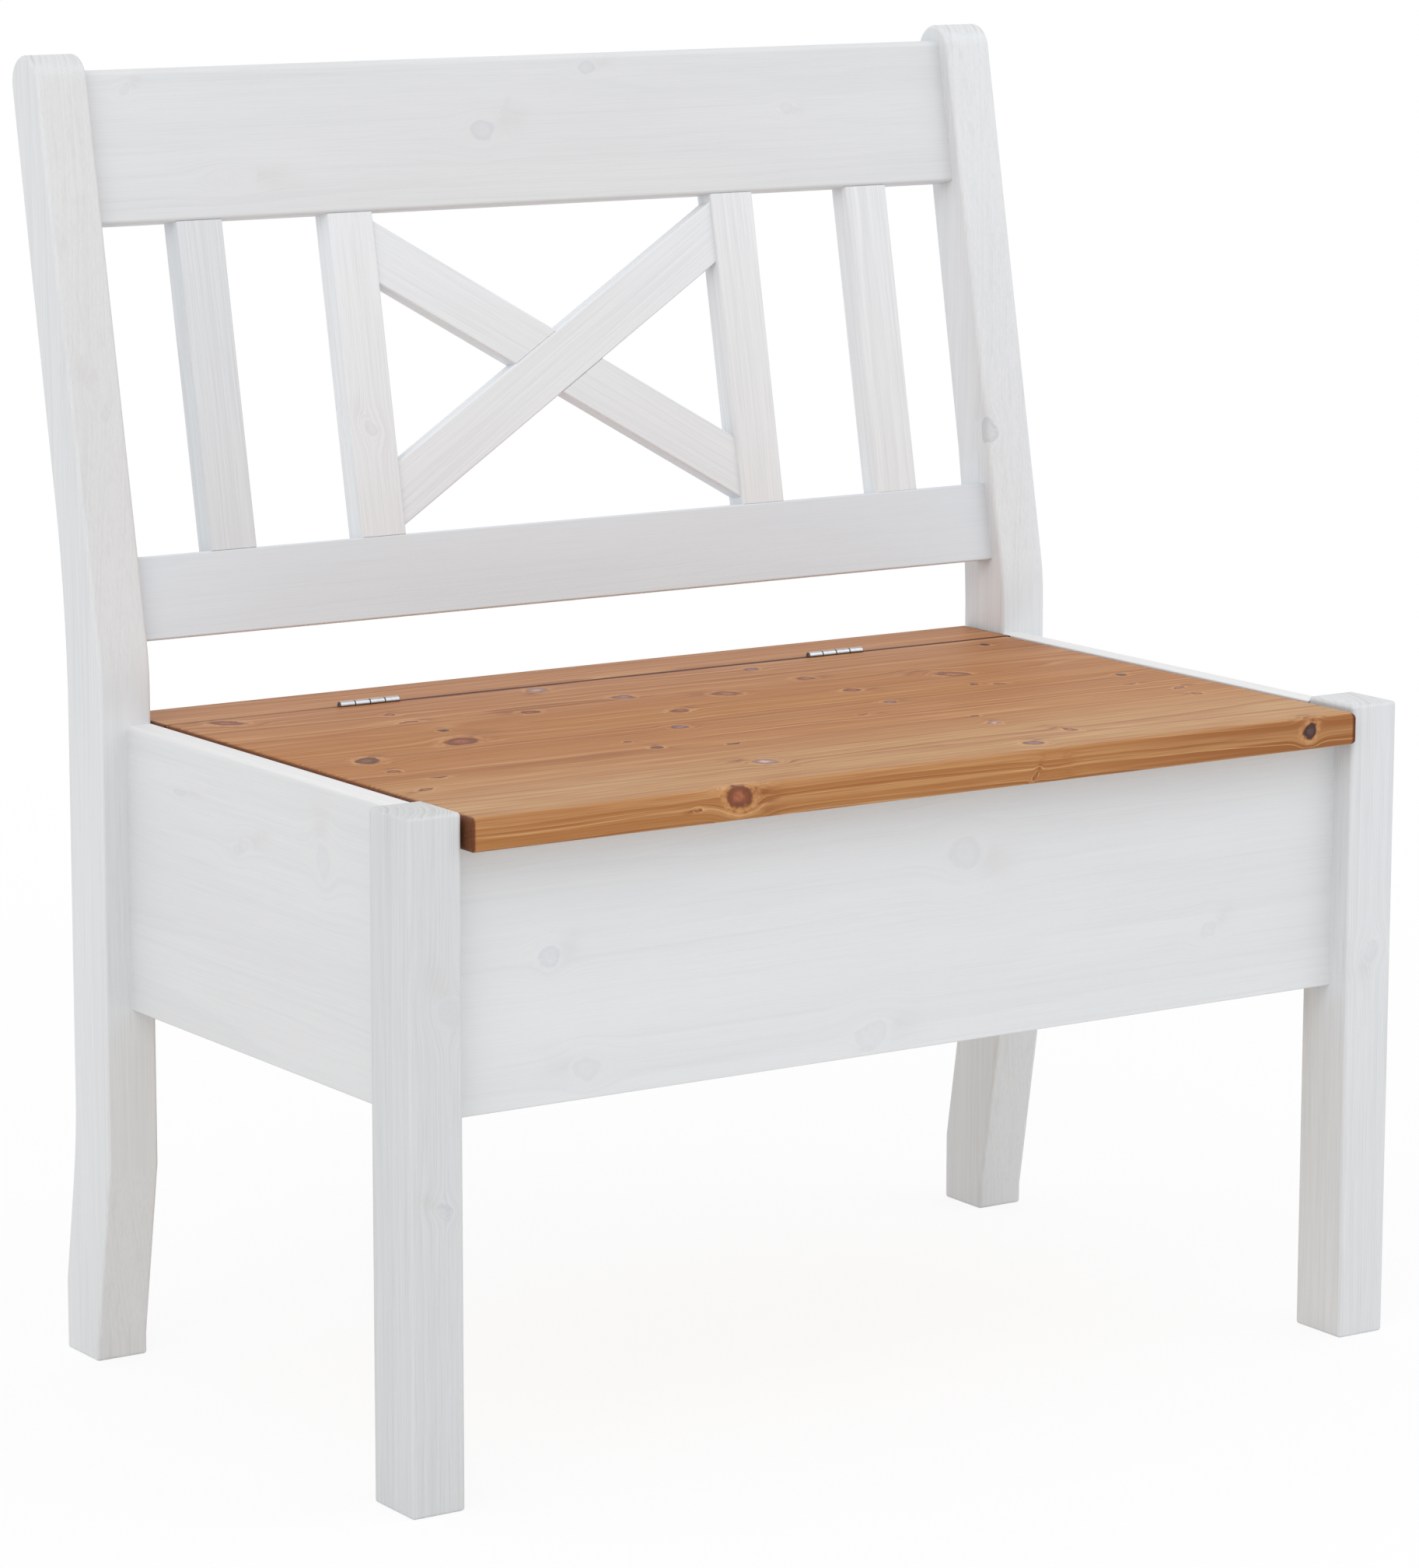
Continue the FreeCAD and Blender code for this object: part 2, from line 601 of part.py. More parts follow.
def cross_cleat(name, low_y, inside):
    """A cleat along the front or back panel, with screw holes countersunk on its inside."""
    body = new_body(name)
    low_x = f"(-{CLEAT_LENGTH} / 2)"
    block(body, (low_x, low_y, CLEAT_BOTTOM), (CLEAT_LENGTH, Size.cleat_size, Size.cleat_size))
    for place in cleat_places("long"):
        start = f"(-{low_y} - {Size.cleat_size})"
        bore(body, "XZ_Plane", (place, CLEAT_SCREW_Z, start), PILOT_RADIUS, Size.cleat_size)
    face = value(plus(low_y, Size.cleat_size)) if inside > 0 else value(low_y)
    dress(body, "Chamfer", lambda e: is_round_edge(e, "y", face), SINK_SIZE)


def side_cleat(side, sign):
    body = new_body(f"floor_cleat_{side}")
    low_x = on_side(sign, minus(INNER_FACE, Size.cleat_size), Size.cleat_size)
    low_y = plus(FRONT_PANEL_BACK, Size.floor_gap)
    block(body, (low_x, low_y, CLEAT_BOTTOM), (Size.cleat_size, SIDE_CLEAT_LENGTH, Size.cleat_size))
    for place in cleat_places("short"):
        centre = (plus(SIDE_MIDDLE, place), CLEAT_SCREW_Z, low_x)
        bore(body, "YZ_Plane", centre, PILOT_RADIUS, Size.cleat_size)
    face = sign * value(minus(INNER_FACE, Size.cleat_size))
    dress(body, "Chamfer", lambda e: is_round_edge(e, "x", face), SINK_SIZE)


def chest_floor():
    body = new_body("chest_floor")
    width = minus(times(2, INNER_FACE), f"2 * {Size.floor_gap}")
    length = minus(BACK_PANEL_FACE, FRONT_PANEL_BACK, f"2 * {Size.floor_gap}")
    low = (f"(-{width} / 2)", plus(FRONT_PANEL_BACK, Size.floor_gap), FLOOR_BOTTOM)
    block(body, low, (width, length, Size.floor_thickness))


# Lid, strip and bearer

def hinge_cuts(body, leaf_face, outward):
    """The recesses of a lid's or strip's edge for the hinge leaves and their barrels."""
    length = plus(Size.hinge_length, f"2 * {Size.leaf_gap}")
    depth = plus(Size.leaf_thickness, Size.leaf_gap)
    height = plus(Size.leaf_height, Size.leaf_gap)
    low_y = minus(leaf_face, depth) if outward > 0 else leaf_face
    for sign in SIDES.values():
        low_x = minus(times(sign, Size.hinge_offset), f"{length} / 2")
        block(body, (low_x, low_y, minus(Size.seat_height, height)), (length, depth, height), cut=True)
        bore(body, "YZ_Plane", (HINGE_Y, HINGE_Z, low_x), BARREL_CLEAR, length)


def screw_places():
    """The X places of both hinges' leaf screws."""
    return [plus(times(sign, Size.hinge_offset), times(step, Size.screw_spacing))
            for sign in SIDES.values() for step in (-1, 0, 1)]


SCREW_HOLE_RADIUS = plus(Size.screw_radius, Size.screw_gap)
SCREW_Z = minus(Size.seat_height, f"{Size.leaf_height} / 2", Size.screw_drop)
LEAF_SHANK = plus(Size.screw_length, Size.mortise_extra)
HEAD_DEPTH = minus(plus(SCREW_HOLE_RADIUS, Size.leaf_sink), Size.screw_head_radius)


def lid():
    body = new_body("lid")
    width = minus(times(2, INNER_FACE), f"2 * {Size.lid_side_gap}")
    depth = minus(LID_BACK, LID_FRONT)
    block(body, (f"(-{width} / 2)", LID_FRONT, LID_BOTTOM), (width, depth, Size.lid_thickness))
    back = value(LID_BACK)
    for height, size in ((Size.seat_height, Size.lid_round), (LID_BOTTOM, Size.lid_under_round)):
        level = value(height)
        dress(body, "Fillet",
              lambda e: is_near(e.BoundBox.ZMin, level) and is_near(e.BoundBox.ZMax, level)
              and not is_near(e.BoundBox.YMin, back),
              size)
    hinge_cuts(body, LID_BACK, 1)
    for place in screw_places():
        start = f"(-{LID_BACK})"
        bore(body, "XZ_Plane", (place, SCREW_Z, start), SCREW_HOLE_RADIUS, LEAF_SHANK)


def strip_dowel_places():
    return [times(step, Size.dowel_spacing) for step in (-1, 0, 1)]


def strip_dowel_holes(body, middle_y):
    """The holes for the strip's dowels in the top edge of the bearer or the back panel."""
    radius = plus(Size.dowel_radius, Size.dowel_gap)
    depth = plus(minus(Size.dowel_length, Size.dowel_in_strip), Size.mortise_extra)
    for place in strip_dowel_places():
        bore(body, "XY_Plane", (place, middle_y, minus(LID_BOTTOM, depth)), radius, depth)


def seat_strip():
    body = new_body("seat_strip")
    width = minus(times(2, INNER_FACE), f"2 * {Size.strip_end_gap}")
    depth = minus(STRIP_BACK, STRIP_FRONT)
    block(body, (f"(-{width} / 2)", STRIP_FRONT, LID_BOTTOM), (width, depth, Size.lid_thickness))
    front = value(STRIP_FRONT)
    top = value(Size.seat_height)
    dress(body, "Fillet",
          lambda e: is_near(e.BoundBox.ZMin, top) and not is_near(e.BoundBox.YMax, front),
          Size.strip_round)
    hinge_cuts(body, STRIP_FRONT, -1)
    for place in screw_places():
        start = f"(-{STRIP_FRONT} - {LEAF_SHANK})"
        bore(body, "XZ_Plane", (place, SCREW_Z, start), SCREW_HOLE_RADIUS, LEAF_SHANK)
    radius = plus(Size.dowel_radius, Size.dowel_gap)
    depth = plus(Size.dowel_in_strip, Size.mortise_extra)
    for middle_y in STRIP_DOWEL_LINES:
        for place in strip_dowel_places():
            bore(body, "XY_Plane", (place, middle_y, LID_BOTTOM), radius, depth)


def strip_bearer():
    body = new_body("strip_bearer")
    low = (f"(-{INNER_FACE})", BEARER_FACE, BEARER_BOTTOM)
    block(body, low, (times(2, INNER_FACE), BEARER_THICKNESS, Size.bearer_height))
    height = minus(Size.bearer_height, f"2 * {Size.bearer_shoulder}")
    for sign in SIDES.values():
        low = (on_side(sign, INNER_FACE, Size.tenon_length),
               BEARER_TENON_FACE,
               plus(BEARER_BOTTOM, Size.bearer_shoulder))
        block(body, low, (Size.tenon_length, Size.tenon_thickness, height))
    strip_dowel_holes(body, BEARER_MIDDLE)


# Backrest, drawn in its own leaning frame

def cross_member(name, bottom, width):
    """The top board or lower rail, with a tenon at each end."""
    body = new_body(name, leaning=True)
    block(body, (f"(-{INNER_FACE})", "0", bottom), (times(2, INNER_FACE), Size.board_thickness, width))
    for sign in SIDES.values():
        low = (on_side(sign, INNER_FACE, Size.tenon_length), TENON_INSET, plus(bottom, Size.tenon_shoulder))
        height = minus(width, f"2 * {Size.tenon_shoulder}")
        block(body, low, (Size.tenon_length, Size.tenon_thickness, height))
    return body


def slat_edges():
    """The low X of each slat, from left to right."""
    starts = [minus(OUTER_SLAT_EDGE, Size.slat_width), minus(INNER_SLAT_EDGE, Size.slat_width)]
    left = [on_side(-1, start, Size.slat_width) for start in starts]
    return left + starts[::-1]


def slat_mortises(body, low_z):
    """The mortises of the board or rail for the slats' tenons."""
    width = plus(minus(Size.slat_width, f"2 * {Size.slat_tenon_shoulder}"), f"2 * {Size.joint_gap}")
    thickness = plus(Size.tenon_thickness, f"2 * {Size.joint_gap}")
    depth = plus(Size.slat_tenon_length, Size.mortise_extra)
    for edge in slat_edges():
        low_x = minus(plus(edge, Size.slat_tenon_shoulder), Size.joint_gap)
        low = (low_x, minus(TENON_INSET, Size.joint_gap), low_z)
        block(body, low, (width, thickness, depth), cut=True)


def top_board():
    body = cross_member("top_board", BOARD_BOTTOM, Size.board_width)
    length = value(INNER_FACE)
    top = plus(BOARD_BOTTOM, Size.board_width)
    for size, height in ((Size.board_round, top), (Size.board_under_round, BOARD_BOTTOM)):
        level = value(height)
        dress(body, "Fillet",
              lambda e: runs_along(e, Vector(1, 0, 0)) and is_near(e.CenterOfMass.z, level)
              and e.Length > length,
              size)
    slat_mortises(body, BOARD_BOTTOM)


def lower_rail():
    body = cross_member("lower_rail", Size.rail_rise, Size.rail_width)
    slat_mortises(body, minus(RAIL_TOP, Size.slat_tenon_length, Size.mortise_extra))


BRACE_DOWEL_Y = f"({Size.board_thickness} / 2)"


def brace_dowel_heights():
    """How far up the backrest each brace's dowels lie, at its low and high end."""
    low = plus(RAIL_TOP, Size.brace_margin, Size.brace_dowel_rise)
    high = minus(BOARD_BOTTOM, Size.brace_margin, Size.brace_dowel_rise)
    return low, high


def brace_dowel_holes(body, low_x, heights):
    radius = plus(Size.brace_dowel_radius, Size.dowel_gap)
    depth = plus(f"{Size.brace_dowel_length} / 2", Size.mortise_extra)
    for height in heights:
        bore(body, "YZ_Plane", (BRACE_DOWEL_Y, height, low_x), radius, depth)


def slat(number, edge):
    body = new_body(f"slat_{number}", leaning=True)
    block(body, (edge, "0", RAIL_TOP), (Size.slat_width, Size.board_thickness, SLAT_LENGTH))
    dress(body, "Fillet", lambda e: runs_along(e, Vector(0, 0, 1)), Size.slat_round)
    width = minus(Size.slat_width, f"2 * {Size.slat_tenon_shoulder}")
    for low_z in (minus(RAIL_TOP, Size.slat_tenon_length), BOARD_BOTTOM):
        low = (plus(edge, Size.slat_tenon_shoulder), TENON_INSET, low_z)
        block(body, low, (width, Size.tenon_thickness, Size.slat_tenon_length))
    depth = plus(f"{Size.brace_dowel_length} / 2", Size.mortise_extra)
    if number == 2:
        brace_dowel_holes(body, minus(f"(-{BRACE_REACH})", depth), brace_dowel_heights())
    if number == 3:
        brace_dowel_holes(body, BRACE_REACH, brace_dowel_heights())


def draw_brace(sketch, direction):
    """A slanting strip with both ends parallel to the slats, from the rail's end to the board's."""
    reach = value(BRACE_REACH)
    low = value(plus(RAIL_TOP, Size.brace_margin))
    high = value(minus(BOARD_BOTTOM, Size.brace_margin))
    end = value(Size.brace_width) / math.cos(math.atan2(high - low, 2 * reach))
    corners = [
        Vector(-direction * reach, low, 0),
        Vector(direction * reach, high - end, 0),
        Vector(direction * reach, high, 0),
        Vector(-direction * reach, low + end, 0),
    ]
    for index in range(4):
        sketch.addGeometry(Part.LineSegment(corners[index], corners[(index + 1) % 4]), False)
    for index in range(4):
        sketch.addConstraint(Sketcher.Constraint("Coincident", index, 2, (index + 1) % 4, 1))
    for index in (1, 3):
        sketch.addConstraint(Sketcher.Constraint("Vertical", index))
    sketch.addConstraint(Sketcher.Constraint("Parallel", 0, 2))
    near = (0, 1, -1, 1) if direction > 0 else (-1, 1, 0, 1)
    far = (-1, 1, 1, 1) if direction > 0 else (1, 1, -1, 1)
    bind(sketch, "DistanceX", near, BRACE_REACH)
    bind(sketch, "DistanceX", far, BRACE_REACH)
    bind(sketch, "DistanceY", (-1, 1, 0, 1), plus(RAIL_TOP, Size.brace_margin))
    bind(sketch, "DistanceY", (-1, 1, 2, 1), minus(BOARD_BOTTOM, Size.brace_margin))
    bind(sketch, "Distance", (3, 1, 0), Size.brace_width)


def brace(name, direction, halving_y):
    """A brace with half its thickness cut away where the other one crosses it."""
    body = new_body(name, leaning=True)
    back_face = f"(-{BRACE_SETBACK} - {Size.brace_thickness})"
    sketch = new_sketch(body, "XZ_Plane", ("0", "0", back_face))
    draw_brace(sketch, direction)
    grow(body, sketch, Size.brace_thickness)
    crossing = new_sketch(body, "XZ_Plane", ("0", "0", halving_y))
    draw_brace(crossing, -direction)
    grow(body, crossing, f"({Size.brace_thickness} / 2)", cut=True)
    depth = plus(f"{Size.brace_dowel_length} / 2", Size.mortise_extra)
    low, high = brace_dowel_heights()
    left_height, right_height = (low, high) if direction > 0 else (high, low)
    brace_dowel_holes(body, f"(-{BRACE_REACH})", [left_height])
    brace_dowel_holes(body, minus(BRACE_REACH, depth), [right_height])


# Hinges

def knuckle_start(centre, index):
    """The low X of one knuckle of a hinge."""
    step = plus(KNUCKLE_LENGTH, Size.knuckle_gap)
    return plus(minus(centre, f"{Size.hinge_length} / 2"), times(index, step))


def hinge_leaf(name, sign, own_knuckles, outward):
    """A leaf let into the lid's or strip's edge, with its knuckles wrapped round the pin."""
    body = new_body(name)
    centre = times(sign, Size.hinge_offset)
    low_x = minus(centre, f"{Size.hinge_length} / 2")
    low_y = minus(LID_BACK, Size.leaf_thickness) if outward > 0 else STRIP_FRONT
    low_z = minus(Size.seat_height, Size.leaf_height)
    shoulder = minus(HINGE_Z, BARREL_CLEAR, Size.leaf_gap)
    block(body, (low_x, low_y, low_z), (Size.hinge_length, Size.leaf_thickness, minus(shoulder, low_z)))
    neck_bottom = minus(shoulder, Size.leaf_neck)
    neck = (KNUCKLE_LENGTH, Size.leaf_thickness, minus(HINGE_Z, neck_bottom))
    for index in own_knuckles:
        start = knuckle_start(centre, index)
        block(body, (start, low_y, neck_bottom), neck)
        sketch = new_sketch(body, "YZ_Plane", (HINGE_Y, HINGE_Z, start))
        draw_circle(sketch, Size.barrel_radius)
        grow(body, sketch, KNUCKLE_LENGTH)
    bore(body, "YZ_Plane", (HINGE_Y, HINGE_Z, low_x), plus(Size.pin_radius, Size.pin_gap), Size.hinge_length)
    for step in (-1, 0, 1):
        place = plus(centre, times(step, Size.screw_spacing))
        start = f"(-{low_y} - {Size.leaf_thickness})"
        bore(body, "XZ_Plane", (place, SCREW_Z, start), SCREW_HOLE_RADIUS, Size.leaf_thickness)
    face = value(LID_BACK) if outward > 0 else value(STRIP_FRONT)
    dress(body, "Chamfer", lambda e: is_round_edge(e, "y", face), Size.leaf_sink)


# Pins, dowels and screws

AXES = {"x": Rotation(Vector(0, 1, 0), 90), "y": Rotation(Vector(1, 0, 0), -90), "z": Rotation()}
BACKWARDS = {"x": Rotation(Vector(0, 1, 0), -90), "y": Rotation(Vector(1, 0, 0), 90)}


def placed(piece, place, rotation):
    """Put a round piece's end at three expressions, turned to its axis."""
    piece.Placement = Placement(Vector(*[value(text) for text in place]), rotation)
    for axis, text in zip("xyz", place):
        piece.setExpression(f"Placement.Base.{axis}", str(text))
    return piece


def rod(name, place, rotation, radius, length):
    piece = doc.addObject("Part::Cylinder", name)
    piece.setExpression("Radius", radius)
    piece.setExpression("Height", length)
    return placed(piece, place, rotation)


def screw(place, rotation, radius, head_radius, length):
    """A countersunk screw whose head starts flush at a point."""
    shank = rod("screw_shank", place, rotation, radius, length)
    head = doc.addObject("Part::Cone", "screw_head")
    head.setExpression("Radius1", head_radius)
    head.setExpression("Radius2", radius)
    head.setExpression("Height", minus(head_radius, radius))
    return [shank, placed(head, place, rotation)]


def group(name, pieces):
    """Several like pieces in one node."""
    node = doc.addObject("Part::MultiFuse", name)
    node.Label = name
    node.Shapes = pieces
    return node


def hinge_pin(side, sign):
    length = minus(Size.hinge_length, f"2 * {Size.pin_inset}")
    low_x = minus(times(sign, Size.hinge_offset), f"{length} / 2")
    pin = rod(f"hinge_pin_{side}", (low_x, HINGE_Y, HINGE_Z), AXES["x"], Size.pin_radius, length)
    pin.Label = f"hinge_pin_{side}"
    return pin


def leaf_screws(name, face, rotation):
    """The screws of both hinges' leaves on one side of the seam, their heads down in their sinks."""
    sizes = (Size.screw_radius, Size.screw_head_radius, Size.screw_length)
    pieces = []
    for place in screw_places():
        pieces += screw((place, face, SCREW_Z), rotation, *sizes)
    return group(name, pieces)


def cleat_screws():
    """The screws through the floor cleats into the panels, heads inside the chest."""
    sizes = (Size.cleat_screw_radius, Size.cleat_screw_head_radius, Size.cleat_screw_length)
    pieces = []
    ends = ((plus(FRONT_PANEL_BACK, Size.cleat_size), BACKWARDS["y"]),
            (minus(BACK_PANEL_FACE, Size.cleat_size), AXES["y"]))
    for place in cleat_places("long"):
        for face, rotation in ends:
            pieces += screw((place, face, CLEAT_SCREW_Z), rotation, *sizes)
    for place in cleat_places("short"):
        for sign in SIDES.values():
            start = times(sign, minus(INNER_FACE, Size.cleat_size))
            rotation = AXES["x"] if sign > 0 else BACKWARDS["x"]
            pieces += screw((start, plus(SIDE_MIDDLE, place), CLEAT_SCREW_Z), rotation, *sizes)
    return group("cleat_screws", pieces)


def strip_dowels():
    pieces = []
    low_z = minus(plus(LID_BOTTOM, Size.dowel_in_strip), Size.dowel_length)
    for middle_y in STRIP_DOWEL_LINES:
        for place in strip_dowel_places():
            low_end = (place, middle_y, low_z)
            pieces.append(rod("strip_dowel", low_end, AXES["z"], Size.dowel_radius, Size.dowel_length))
    return group("strip_dowels", pieces)


def brace_dowels():
    """A dowel from each end of the braces into the slat beside it, in the leaning frame."""
    pieces = []
    for height in brace_dowel_heights():
        y = plus(BACK_Y, times(BRACE_DOWEL_Y, f"cos({RAKE})"), times(height, f"sin({RAKE})"))
        z = plus(minus(BACK_Z, times(BRACE_DOWEL_Y, f"sin({RAKE})")), times(height, f"cos({RAKE})"))
        for sign in SIDES.values():
            low_end = (minus(times(sign, BRACE_REACH), f"{Size.brace_dowel_length} / 2"), y, z)
            dowel = rod("brace_dowel", low_end, AXES["x"], Size.brace_dowel_radius, Size.brace_dowel_length)
            pieces.append(dowel)
    return group("brace_dowels", pieces)


for side, sign in SIDES.items():
    front_leg(side, sign)
    rear_post(side, sign)
    side_panel(side, sign)
    side_cleat(side, sign)
front_panel()
back_panel()
cross_cleat("floor_cleat_front", FRONT_PANEL_BACK, 1)
cross_cleat("floor_cleat_back", minus(BACK_PANEL_FACE, Size.cleat_size), -1)
chest_floor()
lid()
seat_strip()
strip_bearer()
top_board()
lower_rail()
for number, edge in enumerate(slat_edges(), start=1):
    slat(number, edge)
FRONT_HALF = f"(-{BRACE_SETBACK} - {Size.brace_thickness} / 2)"
BACK_HALF = f"(-{BRACE_SETBACK} - {Size.brace_thickness})"
brace("brace_rising", 1, BACK_HALF)
brace("brace_falling", -1, FRONT_HALF)
loose = []
for side, sign in SIDES.items():
    hinge_leaf(f"hinge_fixed_leaf_{side}", sign, (0, 2), -1)
    hinge_leaf(f"hinge_lid_leaf_{side}", sign, (1, 3), 1)
    loose.append(hinge_pin(side, sign))
loose.append(leaf_screws("hinge_fixed_screws", plus(STRIP_FRONT, HEAD_DEPTH), AXES["y"]))
loose.append(leaf_screws("hinge_lid_screws", minus(LID_BACK, HEAD_DEPTH), BACKWARDS["y"]))
loose.append(cleat_screws())
loose.append(strip_dowels())
loose.append(brace_dowels())

doc.recompute()

# Every object must have built, and every cut must have removed something
for item in doc.Objects:
    if "Invalid" in item.State or "Error" in item.State:
        raise RuntimeError(f"{item.Label} did not build: {item.State}")
    if item.TypeId == "PartDesign::Pocket" and item.BaseFeature.Shape.Volume - item.Shape.Volume < 0.5:
        raise RuntimeError(f"{item.Label} cuts nothing")

nodes = [item for item in doc.Objects if item.TypeId == "PartDesign::Body"] + loose
os.makedirs("parts", exist_ok=True)
for node in nodes:
    shape = node.Shape
    if shape.isNull() or not shape.isValid():
        raise RuntimeError(f"{node.Label} has no valid shape")
    shape.exportStep(f"parts/{node.Label}.step")
    print(f"{node.Label}: {len(shape.Solids)} solids, {shape.Volume / 1000:.1f} cm3")
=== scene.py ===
"""Looks of the storage bench: wood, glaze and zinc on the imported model, in metres."""
import math

import bmesh
import bpy
from mathutils import Matrix, Vector


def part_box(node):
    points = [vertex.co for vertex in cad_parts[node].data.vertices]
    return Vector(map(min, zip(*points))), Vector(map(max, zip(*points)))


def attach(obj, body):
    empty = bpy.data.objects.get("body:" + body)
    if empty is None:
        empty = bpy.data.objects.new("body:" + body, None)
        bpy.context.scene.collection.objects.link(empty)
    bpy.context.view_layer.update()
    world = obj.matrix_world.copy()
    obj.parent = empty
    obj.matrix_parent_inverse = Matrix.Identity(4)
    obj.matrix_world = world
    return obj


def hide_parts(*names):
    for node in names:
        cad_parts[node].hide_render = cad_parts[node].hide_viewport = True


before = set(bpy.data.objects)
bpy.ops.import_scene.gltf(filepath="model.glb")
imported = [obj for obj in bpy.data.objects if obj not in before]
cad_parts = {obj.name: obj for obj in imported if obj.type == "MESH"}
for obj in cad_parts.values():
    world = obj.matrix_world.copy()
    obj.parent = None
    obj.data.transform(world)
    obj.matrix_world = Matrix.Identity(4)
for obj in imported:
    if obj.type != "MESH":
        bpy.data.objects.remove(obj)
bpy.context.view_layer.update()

# Camera, as the photographer's stood: metres, degrees and millimetres

CAMERA_PLACE = (-2.262, -3.393, 1.167)
CAMERA_YAW = 33.65
CAMERA_PITCH = 10.49
CAMERA_ROLL = 0.10
CAMERA_LENS = 131.05

# Directions: the axes, and along and out of the raked backrest

X, Y, Z = (Vector(axis) for axis in ((1, 0, 0), (0, 1, 0), (0, 0, 1)))
RAKE = math.radians(11.12)
UP_RAKE = Vector((0, math.sin(RAKE), math.cos(RAKE)))
OUT_RAKE = Vector((0, -math.cos(RAKE), math.sin(RAKE)))
BRACE_END = 0.0467  # the part of a brace's sloping height that is its cut end


def tone(red, green, blue):
    """A colour given as screen values from 0 to 255."""
    linear = []
    for level in (red, green, blue):
        share = level / 255
        linear.append(share / 12.92 if share <= 0.04045 else ((share + 0.055) / 1.055) ** 2.4)
    return (*linear, 1)


class Shader:
    """A node tree under construction: each call adds one node and gives its output."""

    def __init__(self, tree):
        self.tree = tree

    def node(self, kind, inputs=(), output=0, **settings):
        made = self.tree.nodes.new("ShaderNode" + kind)
        for name, setting in settings.items():
            setattr(made, name, setting)
        pairs = inputs.items() if isinstance(inputs, dict) else enumerate(inputs)
        for key, source in pairs:
            if isinstance(source, bpy.types.NodeSocket):
                self.tree.links.new(source, made.inputs[key])
            else:
                made.inputs[key].default_value = source
        return made.outputs[output] if len(made.outputs) else None

    def math(self, operation, *inputs):
        return self.node("Math", inputs, operation=operation)

    def vector(self, operation, *inputs):
        return self.node("VectorMath", inputs, operation=operation)

    def dot(self, first, second):
        return self.node("VectorMath", (first, second), output=1, operation="DOT_PRODUCT")

    def split(self, vector, axis):
        return self.node("SeparateXYZ", (vector,), output=axis)

    def join(self, *parts):
        return self.node("CombineXYZ", parts)

    def span(self, source, low, high, to_low=0.0, to_high=1.0):
        """A smooth change from one value to another as the source goes from low to high."""
        settings = {"interpolation_type": "SMOOTHSTEP"}
        return self.node("MapRange", (source, low, high, to_low, to_high), **settings)

    def mix(self, share, first, second, blend="MIX"):
        inputs = {0: share, 6: first, 7: second}
        return self.node("Mix", inputs, output=2, data_type="RGBA", blend_type=blend)

    def coat(self, colour, mask, share, over, blend="MIX"):
        """A colour with a share of another over it, where the mask is one."""
        return self.mix(self.math("MULTIPLY", mask, share), colour, over, blend)

    def noise(self, place, stretch, detail=2.0, output=0):
        """Noise of one feature per metre, times the stretch along each axis."""
        scaled = self.vector("MULTIPLY", place, stretch)
        inputs = {"Vector": scaled, "Scale": 1.0, "Detail": detail}
        return self.node("TexNoise", inputs, output=output)

    def drift(self, place, stretch, reach, detail=2.0):
        """A random shift of a point, up to half the reach each way."""
        chance = self.noise(place, stretch, detail, output="Color")
        back = tuple(-length / 2 for length in reach)
        return self.vector("MULTIPLY_ADD", chance, reach, back)

    def group(self, tree, inputs, output=0):
        return self.node("Group", inputs, output=output, node_tree=tree)


def new_group(name, inputs, outputs):
    """An empty node group with its named sockets, and the shader and ends to build it with."""
    tree = bpy.data.node_groups.new(name, "ShaderNodeTree")
    for in_out, sockets in (("INPUT", inputs), ("OUTPUT", outputs)):
        for socket, kind in sockets.items():
            tree.interface.new_socket(socket, in_out=in_out, socket_type="NodeSocket" + kind)
    start = tree.nodes.new("NodeGroupInput")
    end = tree.nodes.new("NodeGroupOutput")
    return tree, Shader(tree), start.outputs, end.inputs


